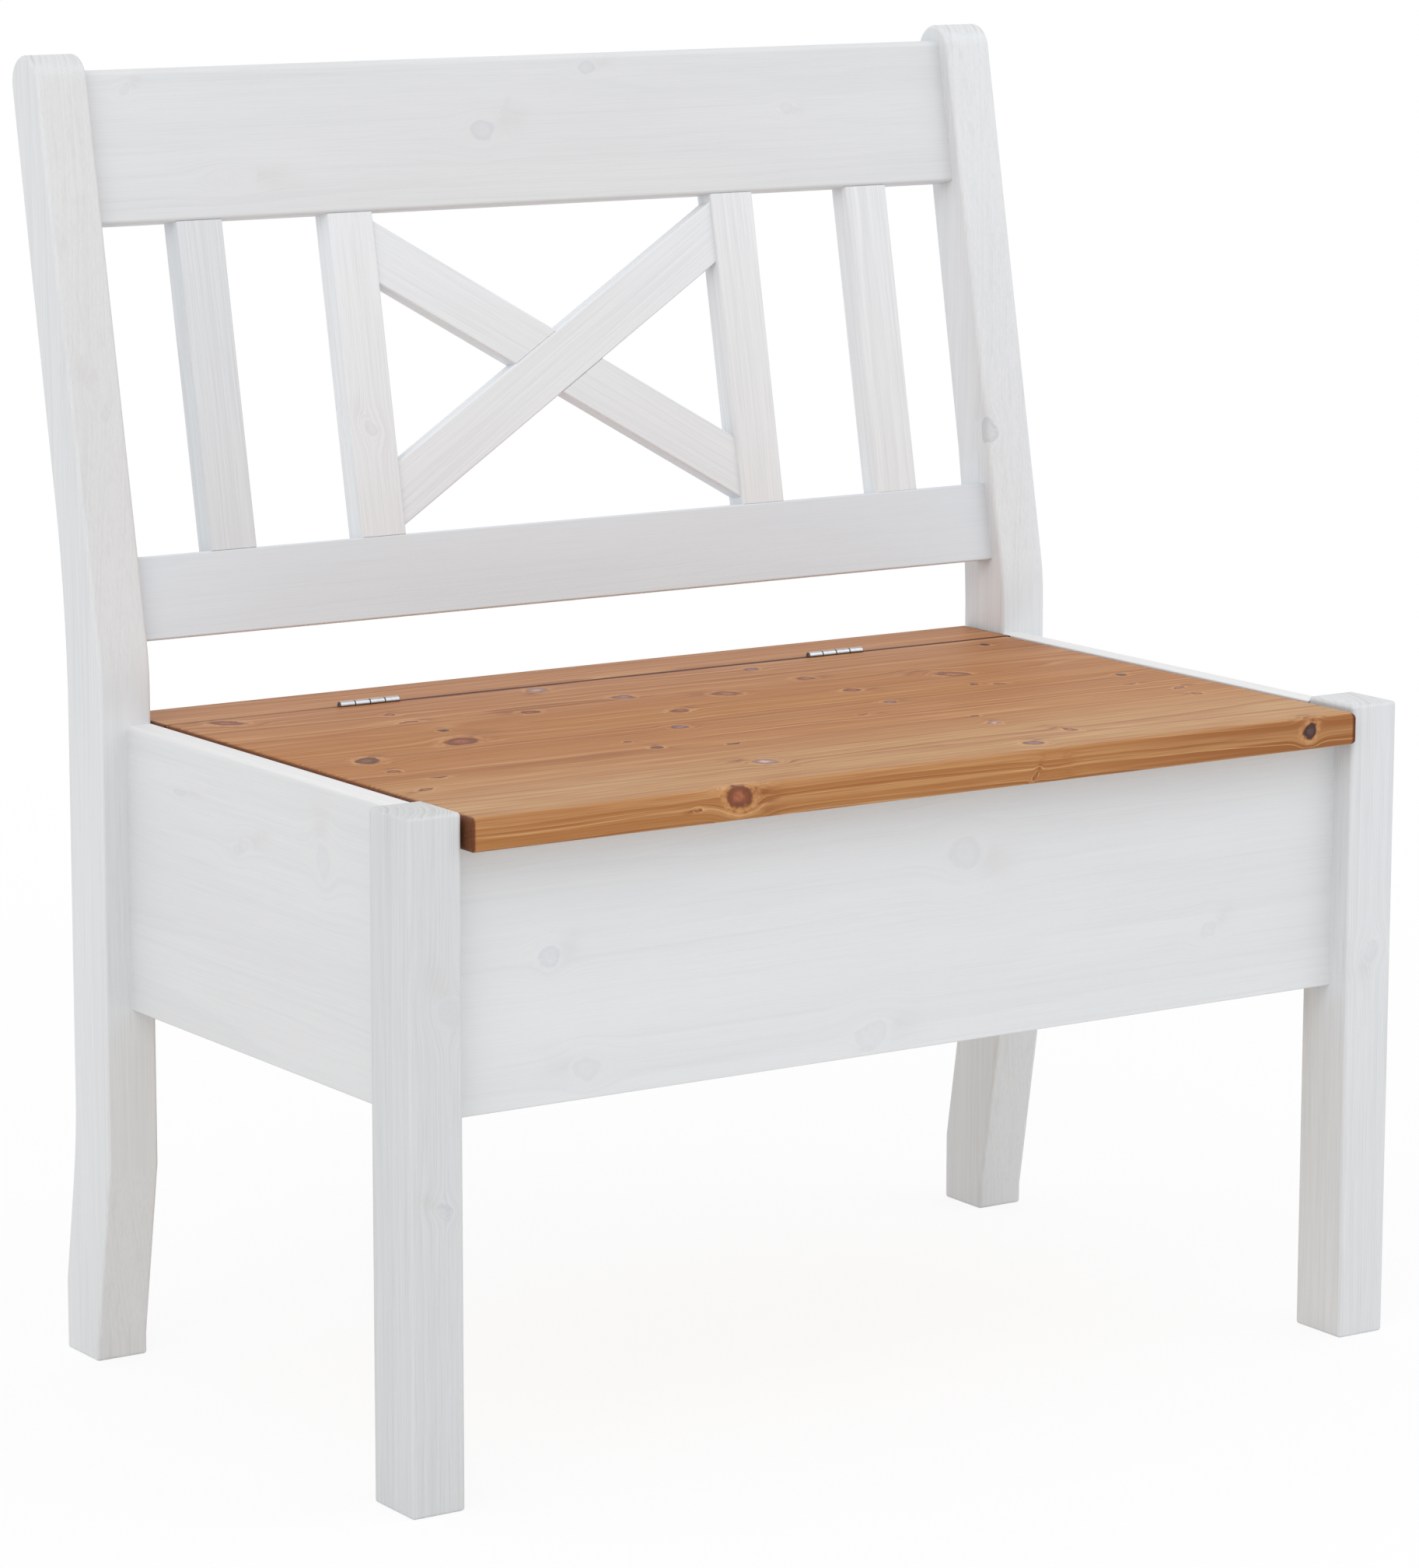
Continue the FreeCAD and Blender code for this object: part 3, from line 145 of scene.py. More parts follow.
def growth_rings():
    """Growth rings and fibres at a point of a board, in metres along, across and through it."""
    inputs = {"Point": "Vector", "Pith": "Vector", "Ring": "Float", "Seed": "Float"}
    outputs = dict.fromkeys(("Late", "Early", "Streak", "Fibre", "Cloud"), "Float")
    tree, make, start, end = new_group("Growth rings", inputs, outputs)
    apart = make.join(make.math("MULTIPLY", start["Seed"], 5.3), 0.0, 0.0)
    own = make.vector("ADD", start["Point"], apart)

    moved = make.vector("ADD", start["Point"], make.drift(own, (1.0, 7, 7), (0, 0.03, 0.03)))
    moved = make.vector("ADD", moved, make.drift(own, (4.5, 22, 22), (0, 0.007, 0.007)))
    moved = make.vector("ADD", moved, make.drift(own, (14, 130, 130), (0, 0.0014, 0.0014)))
    across = make.vector("MULTIPLY", make.vector("SUBTRACT", moved, start["Pith"]), (0, 1, 1))
    radius = make.node("VectorMath", (across,), output=1, operation="LENGTH")
    taper = make.math("MULTIPLY", make.split(moved, 0), 0.008)
    years = make.math("DIVIDE", make.math("ADD", radius, taper), start["Ring"])

    uneven = make.node("TexNoise", {"W": years, "Scale": 0.4, "Detail": 1.0}, noise_dimensions="1D")
    years = make.math("ADD", years, make.math("MULTIPLY", uneven, 2.4))
    season = make.math("FRACT", years)
    strength = make.node("TexWhiteNoise", {"W": make.math("FLOOR", years)}, noise_dimensions="1D")
    strength = make.math("MULTIPLY_ADD", strength, 0.75, 0.25)
    patch = make.span(make.noise(own, (5, 30, 30)), 0.3, 0.65, 0.45, 1.0)
    late = make.math("MULTIPLY", make.span(season, 0.45, 0.94), make.span(season, 0.95, 1.0, 1, 0))
    late = make.math("MULTIPLY", make.math("MULTIPLY", late, strength), patch)
    early = make.math("MULTIPLY", make.span(season, 0.0, 0.08), make.span(season, 0.34, 0.1))
    early = make.math("MULTIPLY", make.math("MULTIPLY", early, strength), patch)

    tree.links.new(late, end["Late"])
    tree.links.new(early, end["Early"])
    streak = make.noise(own, (2.2, 260, 260), 3.0)
    tree.links.new(make.span(streak, 0.5, 0.75), end["Streak"])
    tree.links.new(make.noise(own, (16, 1100, 1100), 3.0), end["Fibre"])
    tree.links.new(make.noise(own, (2.4, 20, 20), 3.0), end["Cloud"])
    return tree


def branch_knot():
    """One knot added to those before it: how it bends the grain, and the distance to it.

    The knot is longest along its branch, which leans from the grain and leaves a smear on one side.
    """
    carried = {"Shift": "Float", "Near": "Float", "Tail": "Float", "Colour": "Color"}
    knot = {"Centre": "Vector", "Reach": "Vector", "Lean": "Float", "Heart": "Color"}
    inputs = {"Point": "Vector", **carried, **knot}
    tree, make, start, end = new_group("Branch knot", inputs, carried)
    offset = make.vector("SUBTRACT", start["Point"], start["Centre"])
    turn = make.math("MULTIPLY", start["Lean"], -math.tau)
    leaning = make.node("VectorRotate", {"Vector": offset, "Angle": turn}, rotation_type="Z_AXIS")
    scaled = make.vector("MULTIPLY", leaning, start["Reach"])
    near = make.dot(scaled, scaled)

    beyond = make.math("MAXIMUM", near, 1)
    fading = make.math("POWER", 0.78, make.math("SUBTRACT", beyond, 1))
    bend = make.math("MULTIPLY", make.split(offset, 1), fading)
    tree.links.new(make.math("SUBTRACT", start["Shift"], bend), end["Shift"])
    tree.links.new(make.math("MINIMUM", start["Near"], near), end["Near"])

    ahead, aside = make.split(scaled, 0), make.split(scaled, 1)
    wide = make.math("MULTIPLY_ADD", make.math("MAXIMUM", ahead, 0), 0.35, 0.4)
    aside = make.math("DIVIDE", aside, wide)
    smear = make.math("POWER", 0.37, make.math("MULTIPLY", aside, aside))
    smear = make.math("MULTIPLY", smear, make.span(ahead, 0.4, 1.2))
    smear = make.math("MULTIPLY", smear, make.span(ahead, 4.6, 1.6))
    deep = make.math("LESS_THAN", make.math("ABSOLUTE", make.split(scaled, 2)), 2)
    smear = make.math("MULTIPLY", smear, deep)
    tree.links.new(make.math("MAXIMUM", start["Tail"], smear), end["Tail"])
    share = make.span(near, 2.6, 1.4)
    tree.links.new(make.mix(share, start["Colour"], start["Heart"]), end["Colour"])
    return tree


RINGS = growth_rings()
KNOT = branch_knot()


def knots_on(make, point, slots):
    """The grain's shift, the distance to the nearest knot, the tails and the knots' colour."""
    shift, near, tail, colour = 0.0, 50.0, 0.0, (0.3, 0.2, 0.15, 1)
    for centre, reach, lean, heart in slots:
        values = {
            "Point": point, "Shift": shift, "Near": near, "Tail": tail, "Colour": colour,
            "Centre": centre, "Reach": reach, "Lean": lean, "Heart": heart,
        }
        shift = make.group(KNOT, values)
        near, tail, colour = shift.node.outputs[1:4]
    return shift, near, tail, colour


def fixed_slots(knots):
    """Knots that every point of a board looks at: all through it, or near one depth."""
    for along, across, radius, stretch, lean, heart, *depth in knots:
        centre = (along / 1000, across / 1000, depth[0] / 1000 if depth else 0)
        reach = 1000 / radius / stretch, 1000 / radius, 1000 / radius if depth else 1
        yield centre, reach, lean / 360 % 1, heart


def stepped(make, place, rows):
    """Four numbers that step from row to row, as the place goes from 0 to 1."""
    colour = make.node("ValToRGB", (place,))
    ramp = colour.node.color_ramp
    ramp.interpolation = "CONSTANT"
    for number, row in enumerate(rows):
        share = number / len(rows)
        element = ramp.elements.new(share) if number else ramp.elements[0]
        element.color = row
    ramp.elements.remove(ramp.elements[-1])
    return colour, colour.node.outputs["Alpha"]


def stave_slots(make, lane, staves, knots):
    """Knots that only the points of their own stave look at, from the first lane upwards."""
    width, edge, lanes = staves
    rows = {number: [] for number in lanes}
    for along, across, radius, stretch, lean, heart in knots:
        numbers = along / 1000 + 1, across / 1000 + 1, 1000 / radius, 1 / stretch
        number = math.floor((across / 1000 - edge) / width)
        rows[number].append((numbers, (*heart[:3], lean / 360 % 1)))
    place = make.math("DIVIDE", make.math("SUBTRACT", lane, lanes[0] - 0.5), len(lanes))
    for slot in range(max(len(found) for found in rows.values())):
        nothing = (9, 9, 100, 1), (0, 0, 0, 1)
        chosen = [found[slot] if slot < len(found) else nothing for found in rows.values()]
        numbers, narrow = stepped(make, place, [row for row, heart in chosen])
        heart, lean = stepped(make, place, [heart for row, heart in chosen])
        centre = make.vector("MULTIPLY_ADD", numbers, (1, 1, 0), (-1, -1, 0))
        width = make.split(numbers, 2)
        yield centre, make.join(make.math("MULTIPLY", width, narrow), width, 0.0), lean, heart


# Boards: the direction of the grain, the face that shows, and what is special on each

RED = tone(126, 72, 52)
BROWN = tone(134, 84, 56)
DARK = tone(92, 60, 48)
VIOLET = tone(122, 92, 92)
BLACK = tone(52, 42, 48)
PALE = tone(160, 132, 128)
FAINT = tone(184, 186, 196)
MIST = tone(200, 201, 206)
LOST = tone(219, 219, 221)
SMOKE = tone(140, 142, 150)

# Each knot: millimetres along and across from the board's middle, radius, stretch, lean and colour
LID_KNOTS = [
    (-332, 193, 8.5, 1.4, 130, RED), (-217, 161, 4, 1.3, 70, BROWN),
    (-222, 125, 5, 1.6, 10, BROWN), (-219, 83, 3.2, 1.2, 60, BLACK),
    (-231, 38, 11, 1.35, 38, RED), (-324, 8, 8.5, 1.35, 55, DARK),
    (-330, -37, 4.2, 1.1, 80, BROWN), (-315, -71, 4.2, 1.6, 5, DARK),
    (-127, 115, 6, 1.2, 170, RED), (-73, 193, 6.5, 1.2, 230, PALE),
    (-35, 133, 6.5, 1.2, 320, VIOLET), (36, 104, 7.5, 1.3, 150, BROWN),
    (-33, 61, 6.5, 1.25, 30, RED), (-71, 5, 5.5, 1.1, 25, VIOLET),
    (-134, -26, 2.6, 1.0, 330, DARK), (-130, -56, 4.4, 1.1, 75, DARK),
    (-75, -71, 3.6, 1.6, 15, DARK), (-98, -143, 8, 1.15, 130, PALE),
    (113, 186, 5.2, 1.1, 220, VIOLET), (123, 129, 6.5, 1.2, 350, BROWN),
    (227, 84, 9, 1.5, 128, BROWN), (122, 67, 6, 1.15, 345, RED),
    (213, 39, 2.4, 1.0, 60, BLACK), (231, 31, 4, 1.5, 335, BROWN),
    (116, 9, 5.2, 1.0, 10, VIOLET), (330, 184, 3.8, 1.3, 55, BLACK),
    (331, 13, 3.8, 1.1, 40, BLACK), (70, -22, 3.8, 1.5, 350, BROWN),
    (311, -22, 3.8, 1.5, 5, BROWN), (132, -73, 2.8, 1.2, 170, DARK),
    (127, -104, 5, 1.1, 60, PALE), (326, -83, 4.2, 1.1, 140, BROWN),
    (330, -56, 3.2, 2.2, 25, BROWN), (101, -185, 7, 1.0, 50, VIOLET),
    (155, -155, 3.5, 2.0, 105, BROWN), (-345, -106, 3.5, 2.2, 200, BROWN),
]
# On the lid's front edge: along and up from the board's middle, as deep as the edge's rounding
EDGE_KNOTS = [
    (-162, 5, 8, 1.15, 350, RED), (330, 2, 5.2, 1.0, 90, BLACK),
    (84, -6, 1.4, 2.0, 60, BROWN), (-196, -2, 1.2, 2.5, 172, BROWN),
]
# Knots that show faintly through the glaze: the place in millimetres in the bench's own frame,
# then radius, stretch, lean and colour
WHITE_KNOTS = {
    "front_panel": [
        (-297, -249, 363, 7.5, 1.1, 20, FAINT), (45, -249, 397, 11, 1.2, 340, MIST),
        (-34, -249, 277, 9, 1.4, 10, MIST), (-267, -249, 284, 8, 1.3, 170, MIST),
        (262, -249, 318, 6, 1.2, 30, MIST),
    ],
    "side_panel_left": [
        (-396, -122, 418, 8, 1.4, 100, MIST), (-396, 77, 434, 2.2, 4, 3, FAINT),
        (-396, -9, 409, 5, 2.4, 20, MIST),
    ],
    "side_panel_right": [(396, 40, 390, 8, 1.3, 80, FAINT), (396, -110, 300, 6, 1.4, 20, MIST)],
    "back_panel": [(-180, 200, 380, 9, 1.2, 30, FAINT), (140, 200, 310, 7, 1.3, 340, MIST)],
    "top_board": [
        (-47, 239, 873, 7, 1.6, 15, FAINT), (-342, 247, 912, 3.5, 1.5, 30, MIST),
        (-28, 242, 886, 2.5, 1.5, 60, MIST), (49, 247, 916, 4, 1.8, 10, FAINT),
        (-265, 234, 847, 6, 2.6, 0, LOST), (226, 240, 880, 4, 1.3, 350, MIST),
    ],
    "front_leg_left": [(-387, -269, 340, 7, 1.5, 20, MIST), (-391, -269, 208, 4, 1.6, 60, FAINT)],
    "front_leg_right": [(398, -269, 290, 6, 1.3, 150, MIST)],
    "rear_post_left": [(-394, 200, 700, 6, 1.4, 30, MIST)],
    "rear_post_right": [(378, 180, 627, 7.5, 1.2, 20, SMOKE)],
    "slat_2": [(-170, 215, 660, 5, 1.4, 30, MIST)],
}


def white_knots(name):
    """The knots of one glazed board, from its own middle."""
    along, out, middle = board_frame(name)
    across = out.cross(along)
    for x, y, z, *form in WHITE_KNOTS.get(name, ()):
        offset = Vector((x, y, z)) - middle * 1000
        depth = [offset.dot(out)] if "leg" in name or "post" in name else []
        yield (offset.dot(along), offset.dot(across), *form, *depth)


def board_frame(name):
    """The directions along and out of a board, and its middle."""
    low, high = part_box(name)
    size = high - low
    middle = (low + high) / 2
    if name in ("top_board", "lower_rail"):
        return X, OUT_RAKE, middle
    if name.startswith("slat"):
        return UP_RAKE, OUT_RAKE, middle
    if name.startswith("brace"):
        rise = 1 if name == "brace_rising" else -1
        length = Vector((size.x, 0, 0)) + UP_RAKE * rise * (size.z / UP_RAKE.z - BRACE_END)
        return length.normalized(), OUT_RAKE, middle
    if name.startswith("side_panel"):
        side = 1 if middle.x > 0 else -1
        return Y * side, X * side, middle
    if name in ("front_panel", "back_panel", "strip_bearer"):
        return X, -Y, middle
    if size.z == max(size):
        return Z, -Y, middle
    if size.y == max(size):
        return Y, Z, middle
    return X, Z, middle


def half_length(name):
    """Half of a board's length along its grain."""
    low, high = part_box(name)
    return abs((high - low).dot(board_frame(name)[0])) / 2


def board_point(make, name):
    """Metres along, across and through the board, at the point that is shaded."""
    along, out, middle = board_frame(name)
    across = out.cross(along)
    turn = Matrix((along, across, out)).transposed()
    place = make.node("TexCoord", output="Object")
    inputs = {"Vector": place, "Location": middle, "Rotation": turn.to_euler()}
    return make.node("Mapping", inputs, vector_type="TEXTURE")


def end_grain(make, name):
    """How far the shaded face is cut across the grain."""
    along = board_frame(name)[0]
    facing = make.dot(make.node("TexCoord", output="Normal"), along)
    return make.span(make.math("ABSOLUTE", facing), 0.5, 0.9)


def arris(make):
    """Where a surface turns over an edge."""
    soft = make.node("Bevel", {"Radius": 0.0025}, samples=4)
    hard = make.node("NewGeometry", output="Normal")
    return make.span(make.dot(soft, hard), 0.99, 0.82)


def new_material(name):
    material = bpy.data.materials.new(name)
    material.use_nodes = True
    material.node_tree.nodes.clear()
    return material, Shader(material.node_tree)


# Where a board's pith lies from its middle, in metres: along, across and through the board
PITH = (0, 0.11, -0.05)
FLAT_SAWN = (0, 0.02, -0.07)
HEART_BOARD = (0, 0.008, -0.006)
# How far the piths of glued staves lie apart, across and through them, and their depth at least
STAVE_PITHS = (0.13, 0.05)
STAVE_PITH_DEPTH = 0.035
# The lid's edges, in metres from its middle: where the front rounding ends, and the seam behind
EDGE_DEPTH = 0.2037
SEAM = 0.2093
# How fast the front edge's knots fade behind it, per metre
EDGE_FADE = 300.0
# The depth of the grain and of the scratches in zinc, in metres
GRAIN_DEPTH = 0.0003
SCRATCH_DEPTH = 0.00005


def close_material(make, surface, height, distance, strength=0.5, **constants):
    """The shader's own node, with a bump from the height."""
    bump = make.node("Bump", {"Strength": strength, "Distance": distance, "Height": height})
    values = {name.replace("_", " "): value for name, value in constants.items()}
    shader = make.node("BsdfPrincipled", {**surface, "Normal": bump, **values})
    make.node("OutputMaterial", (shader,))


def wood(name, seed, paint, knots=(), staves=None, edge_knots=(), ring=0.0042, pith=FLAT_SAWN,
         offset=0.0):
    """A wood material for one board: rings, fibres and knots, coloured by a paint function."""
    material, make = new_material(name + "_wood")
    point = board_point(make, name)
    wavy = make.drift(point, (70, 70, 70), (0.010, 0.007, 0.007))
    ragged = make.drift(point, (420, 420, 420), (0.0022, 0.0022, 0.0022))
    loose = make.vector("ADD", make.vector("ADD", point, wavy), ragged)
    lane_seed, slots = float(seed), fixed_slots(knots)
    if staves:
        width, edge, lanes = staves
        place = make.math("DIVIDE", make.math("SUBTRACT", make.split(point, 1), edge), width)
        lane = make.math("FLOOR", place)
        lane_seed = make.math("MULTIPLY_ADD", lane, 3.7, float(seed))
        seeded = {"W": lane_seed}
        chance = make.node("TexWhiteNoise", seeded, output="Color", noise_dimensions="1D")
        middle = make.math("MULTIPLY_ADD", make.math("ADD", lane, 0.5), width, edge)
        wide, deep = STAVE_PITHS
        nearest = (0, -wide / 2, -deep - STAVE_PITH_DEPTH)
        drift = make.vector("MULTIPLY_ADD", chance, (0, wide, deep), nearest)
        pith = make.vector("ADD", drift, make.join(0.0, middle, 0.0))
        ring = make.math("MULTIPLY_ADD", make.split(chance, 0), 0.004, ring * 0.7)
        if lanes and knots:
            slots = stave_slots(make, lane, staves, knots)
    shift, near, tail, heart = knots_on(make, loose, slots)
    bent = make.vector("ADD", point, make.join(0.0, shift, 0.0))
    if edge_knots:
        behind = make.math("MAXIMUM", make.math("ADD", make.split(loose, 1), EDGE_DEPTH), 0.0)
        behind = make.math("MULTIPLY", behind, EDGE_FADE)
        spot = make.join(make.split(loose, 0), make.split(loose, 2), behind)
        edge_slots = fixed_slots(edge_knots)
        lift, edge_near, edge_tail, edge_heart = knots_on(make, spot, edge_slots)
        heart = make.mix(make.math("LESS_THAN", edge_near, near), heart, edge_heart)
        near = make.math("MINIMUM", near, edge_near)
        tail = make.math("MAXIMUM", tail, edge_tail)
        bent = make.vector("ADD", bent, make.join(0.0, 0.0, lift))
    inputs = {"Point": bent, "Pith": pith, "Ring": ring, "Seed": lane_seed}
    late = make.group(RINGS, inputs)
    early, streak, fibre, cloud = late.node.outputs[1:5]

    paint(make, {
        "point": point, "late": late, "early": early, "streak": streak, "fibre": fibre,
        "cloud": cloud, "near": near, "tail": tail, "heart": heart, "end": end_grain(make, name),
        "arris": arris(make), "lane": lane_seed, "offset": offset, "half": half_length(name),
    })
    return material


def knot_shades(make, near, point):
    """Masks of a knot's inside, its dark rim, its own rings and the pale wood round it."""
    blotch = make.noise(point, (230, 230, 230), 3.0)
    inside = make.span(near, 1.15, 0.7)
    rim = make.math("MULTIPLY", make.span(near, 0.2, 0.85), make.span(near, 1.3, 0.95))
    rim = make.math("MULTIPLY", rim, make.span(blotch, 0.32, 0.52, 0.25, 1.0))
    uneven = make.math("MULTIPLY", blotch, 9.0)
    waves = make.math("SINE", make.math("MULTIPLY_ADD", make.math("SQRT", near), 9.0, uneven))
    rings = make.math("MULTIPLY", make.span(waves, -1, 1), make.span(blotch, 0.3, 0.7))
    halo = make.math("MULTIPLY", make.span(near, 1.0, 1.7), make.span(near, 4.5, 1.8))
    halo = make.math("MULTIPLY", halo, make.span(blotch, 0.35, 0.6))
    return inside, rim, rings, halo


# The lid's lacquer, in metres from the lid's middle: where one tint turns into the next, from
# back to front, over the front's left part, round the front edge and along that to the right
BACK_TO_MIDDLE = 0.2, 0.03
MIDDLE_TO_FRONT = -0.04, -0.17
LEFT_PART = -0.12, -0.26
ROUND_THE_EDGE = -0.2064, -0.2082
EDGE_TO_THE_RIGHT = 0.12, 0.26
DARK_CORNER = (0.385, 0.168, 0)
# How far from a board's ends the arris carries painted shade, and the half width of the painted
# shade along the seam, in metres
END_ARRIS_SHADE = 0.0036, 0.0014
SEAM_FADE = 0.0014, 0.0002


def lacquer_tint(make, deck):
    """The lacquer's colour over the lid: redder behind, golden in the middle, paler in front."""
    along, depth = make.split(deck, 0), make.split(deck, 1)
    colour = make.mix(make.span(depth, *BACK_TO_MIDDLE), tone(177, 118, 71), tone(176, 115, 51))
    front = make.mix(make.span(along, *LEFT_PART), tone(195, 157, 110), tone(202, 170, 126))
    colour = make.mix(make.span(depth, *MIDDLE_TO_FRONT), colour, front)
    edge = make.mix(make.span(along, *EDGE_TO_THE_RIGHT), tone(165, 113, 61), tone(140, 86, 38))
    return make.mix(make.span(depth, *ROUND_THE_EDGE), colour, edge)


def dark_corner(make, deck, cloud):
    """How near a point is to the rear right corner of the lid, where the lacquer is darker."""
    away = make.vector("SUBTRACT", deck, DARK_CORNER)
    away = make.vector("MULTIPLY", away, (13, 28, 0))
    corner = make.math("POWER", 0.4, make.dot(away, away))
    return make.math("MULTIPLY", corner, make.span(cloud, 0.25, 0.5))


def lacquered_knots(make, facts, colour, rough):
    """The colour with the knots in it, and the mask of their insides."""
    near = facts["near"]
    inside, rim, rings, halo = knot_shades(make, near, facts["point"])
    colour = make.coat(colour, halo, 0.5, tone(206, 156, 108))
    heart = make.coat(facts["heart"], rings, 0.65, (1.7, 1.8, 1.8, 1), "MULTIPLY")
    spotty = make.span(rough, 0.1, 0.6, 0.3, 0.8)
    middle = make.math("MULTIPLY", make.span(near, 0.3, 0.0), spotty)
    heart = make.coat(heart, middle, 0.7, (2.0, 2.1, 2.2, 1), "MULTIPLY")
    colour = make.coat(colour, inside, 0.88, heart)
    dark = make.mix(0.55, facts["heart"], tone(74, 44, 38))
    return make.coat(colour, rim, 0.65, dark), inside


def dark_ends_and_painted_shade(make, facts, deck):
    """How dark the end grain is, with painted shade on it, on the arrises beside it and in the
    lid-strip seam.
    """
    point = facts["point"]
    ends = make.math("MULTIPLY", facts["end"], make.math("MULTIPLY_ADD", facts["late"], 0.25, 0.7))
    starts, full = (facts["half"] - inward for inward in END_ARRIS_SHADE)
    # Painted shade on the arrises near the ends, where the lid sits in its gap by the side panels
    end_arris_shade = make.span(make.math("ABSOLUTE", make.split(point, 0)), starts, full, 0, 0.88)
    # Painted shade along the seam between lid and strip, strongest near the top and faint to the
    # left
    seam = make.math("ABSOLUTE", make.math("SUBTRACT", make.split(deck, 1), SEAM))
    seam = make.math("MULTIPLY_ADD", make.noise(point, (11, 60, 60), 3.0), -0.0046, seam)
    high = make.span(make.split(point, 2), 0.007, 0.011, 0.3, 0.95)
    seam = make.math("MULTIPLY", make.span(seam, *SEAM_FADE), high)
    seam = make.math("MULTIPLY", seam, make.span(make.split(point, 0), -0.27, -0.2, 0.3, 1.0))
    return make.math("MAXIMUM", make.math("MAXIMUM", ends, end_arris_shade), seam)


def honey(make, facts):
    """Clear lacquer on pine that has gone honey-coloured."""
    fibre, late, cloud, point = facts["fibre"], facts["late"], facts["cloud"], facts["point"]
    deck = make.vector("ADD", point, (0, facts["offset"], 0))
    colour = lacquer_tint(make, deck)
    colour = make.mix(make.span(cloud, 0.38, 0.7, 0, 0.5), colour, tone(166, 108, 64))
    chance = make.node("TexWhiteNoise", {"W": facts["lane"]}, noise_dimensions="1D")
    colour = make.coat(colour, chance, 0.3, tone(192, 142, 100))
    colour = make.coat(colour, dark_corner(make, deck, cloud), 0.75, tone(146, 84, 38))
    colour = make.coat(colour, late, 0.8, tone(138, 80, 38))
    colour = make.coat(colour, facts["early"], 0.75, tone(214, 170, 122))
    colour = make.coat(colour, facts["streak"], 0.5, tone(210, 165, 114))
    colour = make.mix(make.span(fibre, 0.35, 0.7, 0, 0.5), colour, tone(154, 95, 54))
    rough = make.span(make.noise(point, (60, 320, 320), 3.0), 0.36, 0.62)
    smear = make.math("MULTIPLY", facts["tail"], rough)
    colour = make.coat(colour, smear, 0.85, tone(132, 74, 44))
    colour, inside = lacquered_knots(make, facts, colour, rough)
    colour = make.coat(colour, facts["arris"], 0.2, tone(216, 168, 118))
    # Painted shade: the ends, the arrises by them and the seam turn dark brown, over the end
    # grain's own darker colour
    colour = make.mix(dark_ends_and_painted_shade(make, facts, deck), colour, tone(88, 40, 22))
    gloss = make.math("MULTIPLY_ADD", fibre, 0.2, 0.4)
    height = make.math("MULTIPLY_ADD", late, 0.4, make.math("MULTIPLY", fibre, 0.5))
    height = make.math("ADD", height, make.math("MULTIPLY", inside, 0.3))
    surface = {"Base Color": colour, "Roughness": gloss}
    close_material(make, surface, height, GRAIN_DEPTH, Specular_IOR_Level=0.15)


def glaze(level, cool, figure, top=0):
    """White glaze on pine, by its screen value, its blueness and how far the grain shows.

    A top gives how much paler upward faces are painted, as painted light from above.
    """
    def white(value):
        return tone(value - cool, value, value + cool)

    def paint(make, facts):
        fibre, late, near, heart = facts["fibre"], facts["late"], facts["near"], facts["heart"]
        shade, pale = white(level - 16), white(level + 8)
        chance = make.node("TexWhiteNoise", {"W": facts["lane"]}, noise_dimensions="1D")
        colour = make.coat(white(level), chance, 0.35, pale)
        # Painted light: faces that point up are painted paler, as if lit from above
        if top:
            upward = make.split(make.node("TexCoord", output="Normal"), 2)
            painted_top_light = tone(level + top, level + top, level + top)
            colour = make.mix(make.span(upward, 0.45, 0.95), colour, painted_top_light)
        colour = make.coat(colour, late, 0.42 * figure, shade)
        colour = make.coat(colour, facts["streak"], 0.45 * figure, shade)
        colour = make.mix(make.span(facts["cloud"], 0.35, 0.7, 0, 0.4), colour, pale)
        colour = make.coat(colour, facts["early"], 0.4 * figure, pale)
        colour = make.mix(make.span(fibre, 0.4, 0.75, 0, 0.4 * figure), colour, shade)
        rim, rings = knot_shades(make, near, facts["point"])[1:3]
        faint = make.span(rings, 0, 0.6, 0.22, 0.14)
        colour = make.mix(make.math("MULTIPLY", make.span(near, 1.4, 0.2), faint), colour, heart)
        colour = make.coat(colour, rim, 0.24, heart)
        colour = make.coat(colour, facts["tail"], 0.07, heart)
        ends = make.math("MULTIPLY", facts["end"], make.math("MULTIPLY_ADD", late, 0.7, 0.1))
        colour = make.mix(ends, colour, tone(level - 30, level - 30, level - 30))
        # Paler along the arrises: partly glaze rubbed thin, partly a painted highlight where eased
        # edges catch the light
        worn_and_highlit = make.math("MULTIPLY", facts["arris"], make.span(fibre, 0.45, 0.7))
        colour = make.coat(colour, worn_and_highlit, 0.2, tone(226, 214, 194))
        surface = {"Base Color": colour, "Roughness": make.math("MULTIPLY_ADD", fibre, 0.25, 0.36)}
        height = make.math("MULTIPLY_ADD", late, 0.5, make.math("MULTIPLY", fibre, 0.5))
        close_material(make, surface, height, GRAIN_DEPTH, 0.2 + 0.3 * figure)
    return paint


def bare(light, dark):
    """Unfinished wood between two colours."""
    def paint(make, facts):
        fibre, late = facts["fibre"], facts["late"]
        colour = make.mix(facts["cloud"], light, make.mix(0.3, light, dark))
        colour = make.coat(colour, late, 0.5, dark)
        colour = make.mix(make.span(fibre, 0.4, 0.75, 0, 0.35), colour, dark)
        colour = make.coat(colour, facts["end"], 0.4, dark)
        surface = {"Base Color": colour, "Roughness": make.math("MULTIPLY_ADD", fibre, 0.2, 0.55)}
        close_material(make, surface, make.math("MULTIPLY_ADD", late, 0.5, fibre), GRAIN_DEPTH)
    return paint


# The hinges: how far they stand from the middle, a knuckle's length, and heights on the barrel:
# where it starts, and where painted shade along its foot fades in
HINGE_MIDDLE = 0.206
KNUCKLE = 0.0125
BARREL_FOOT = 0.4688
BARREL_SHADE = 0.4716, 0.4703


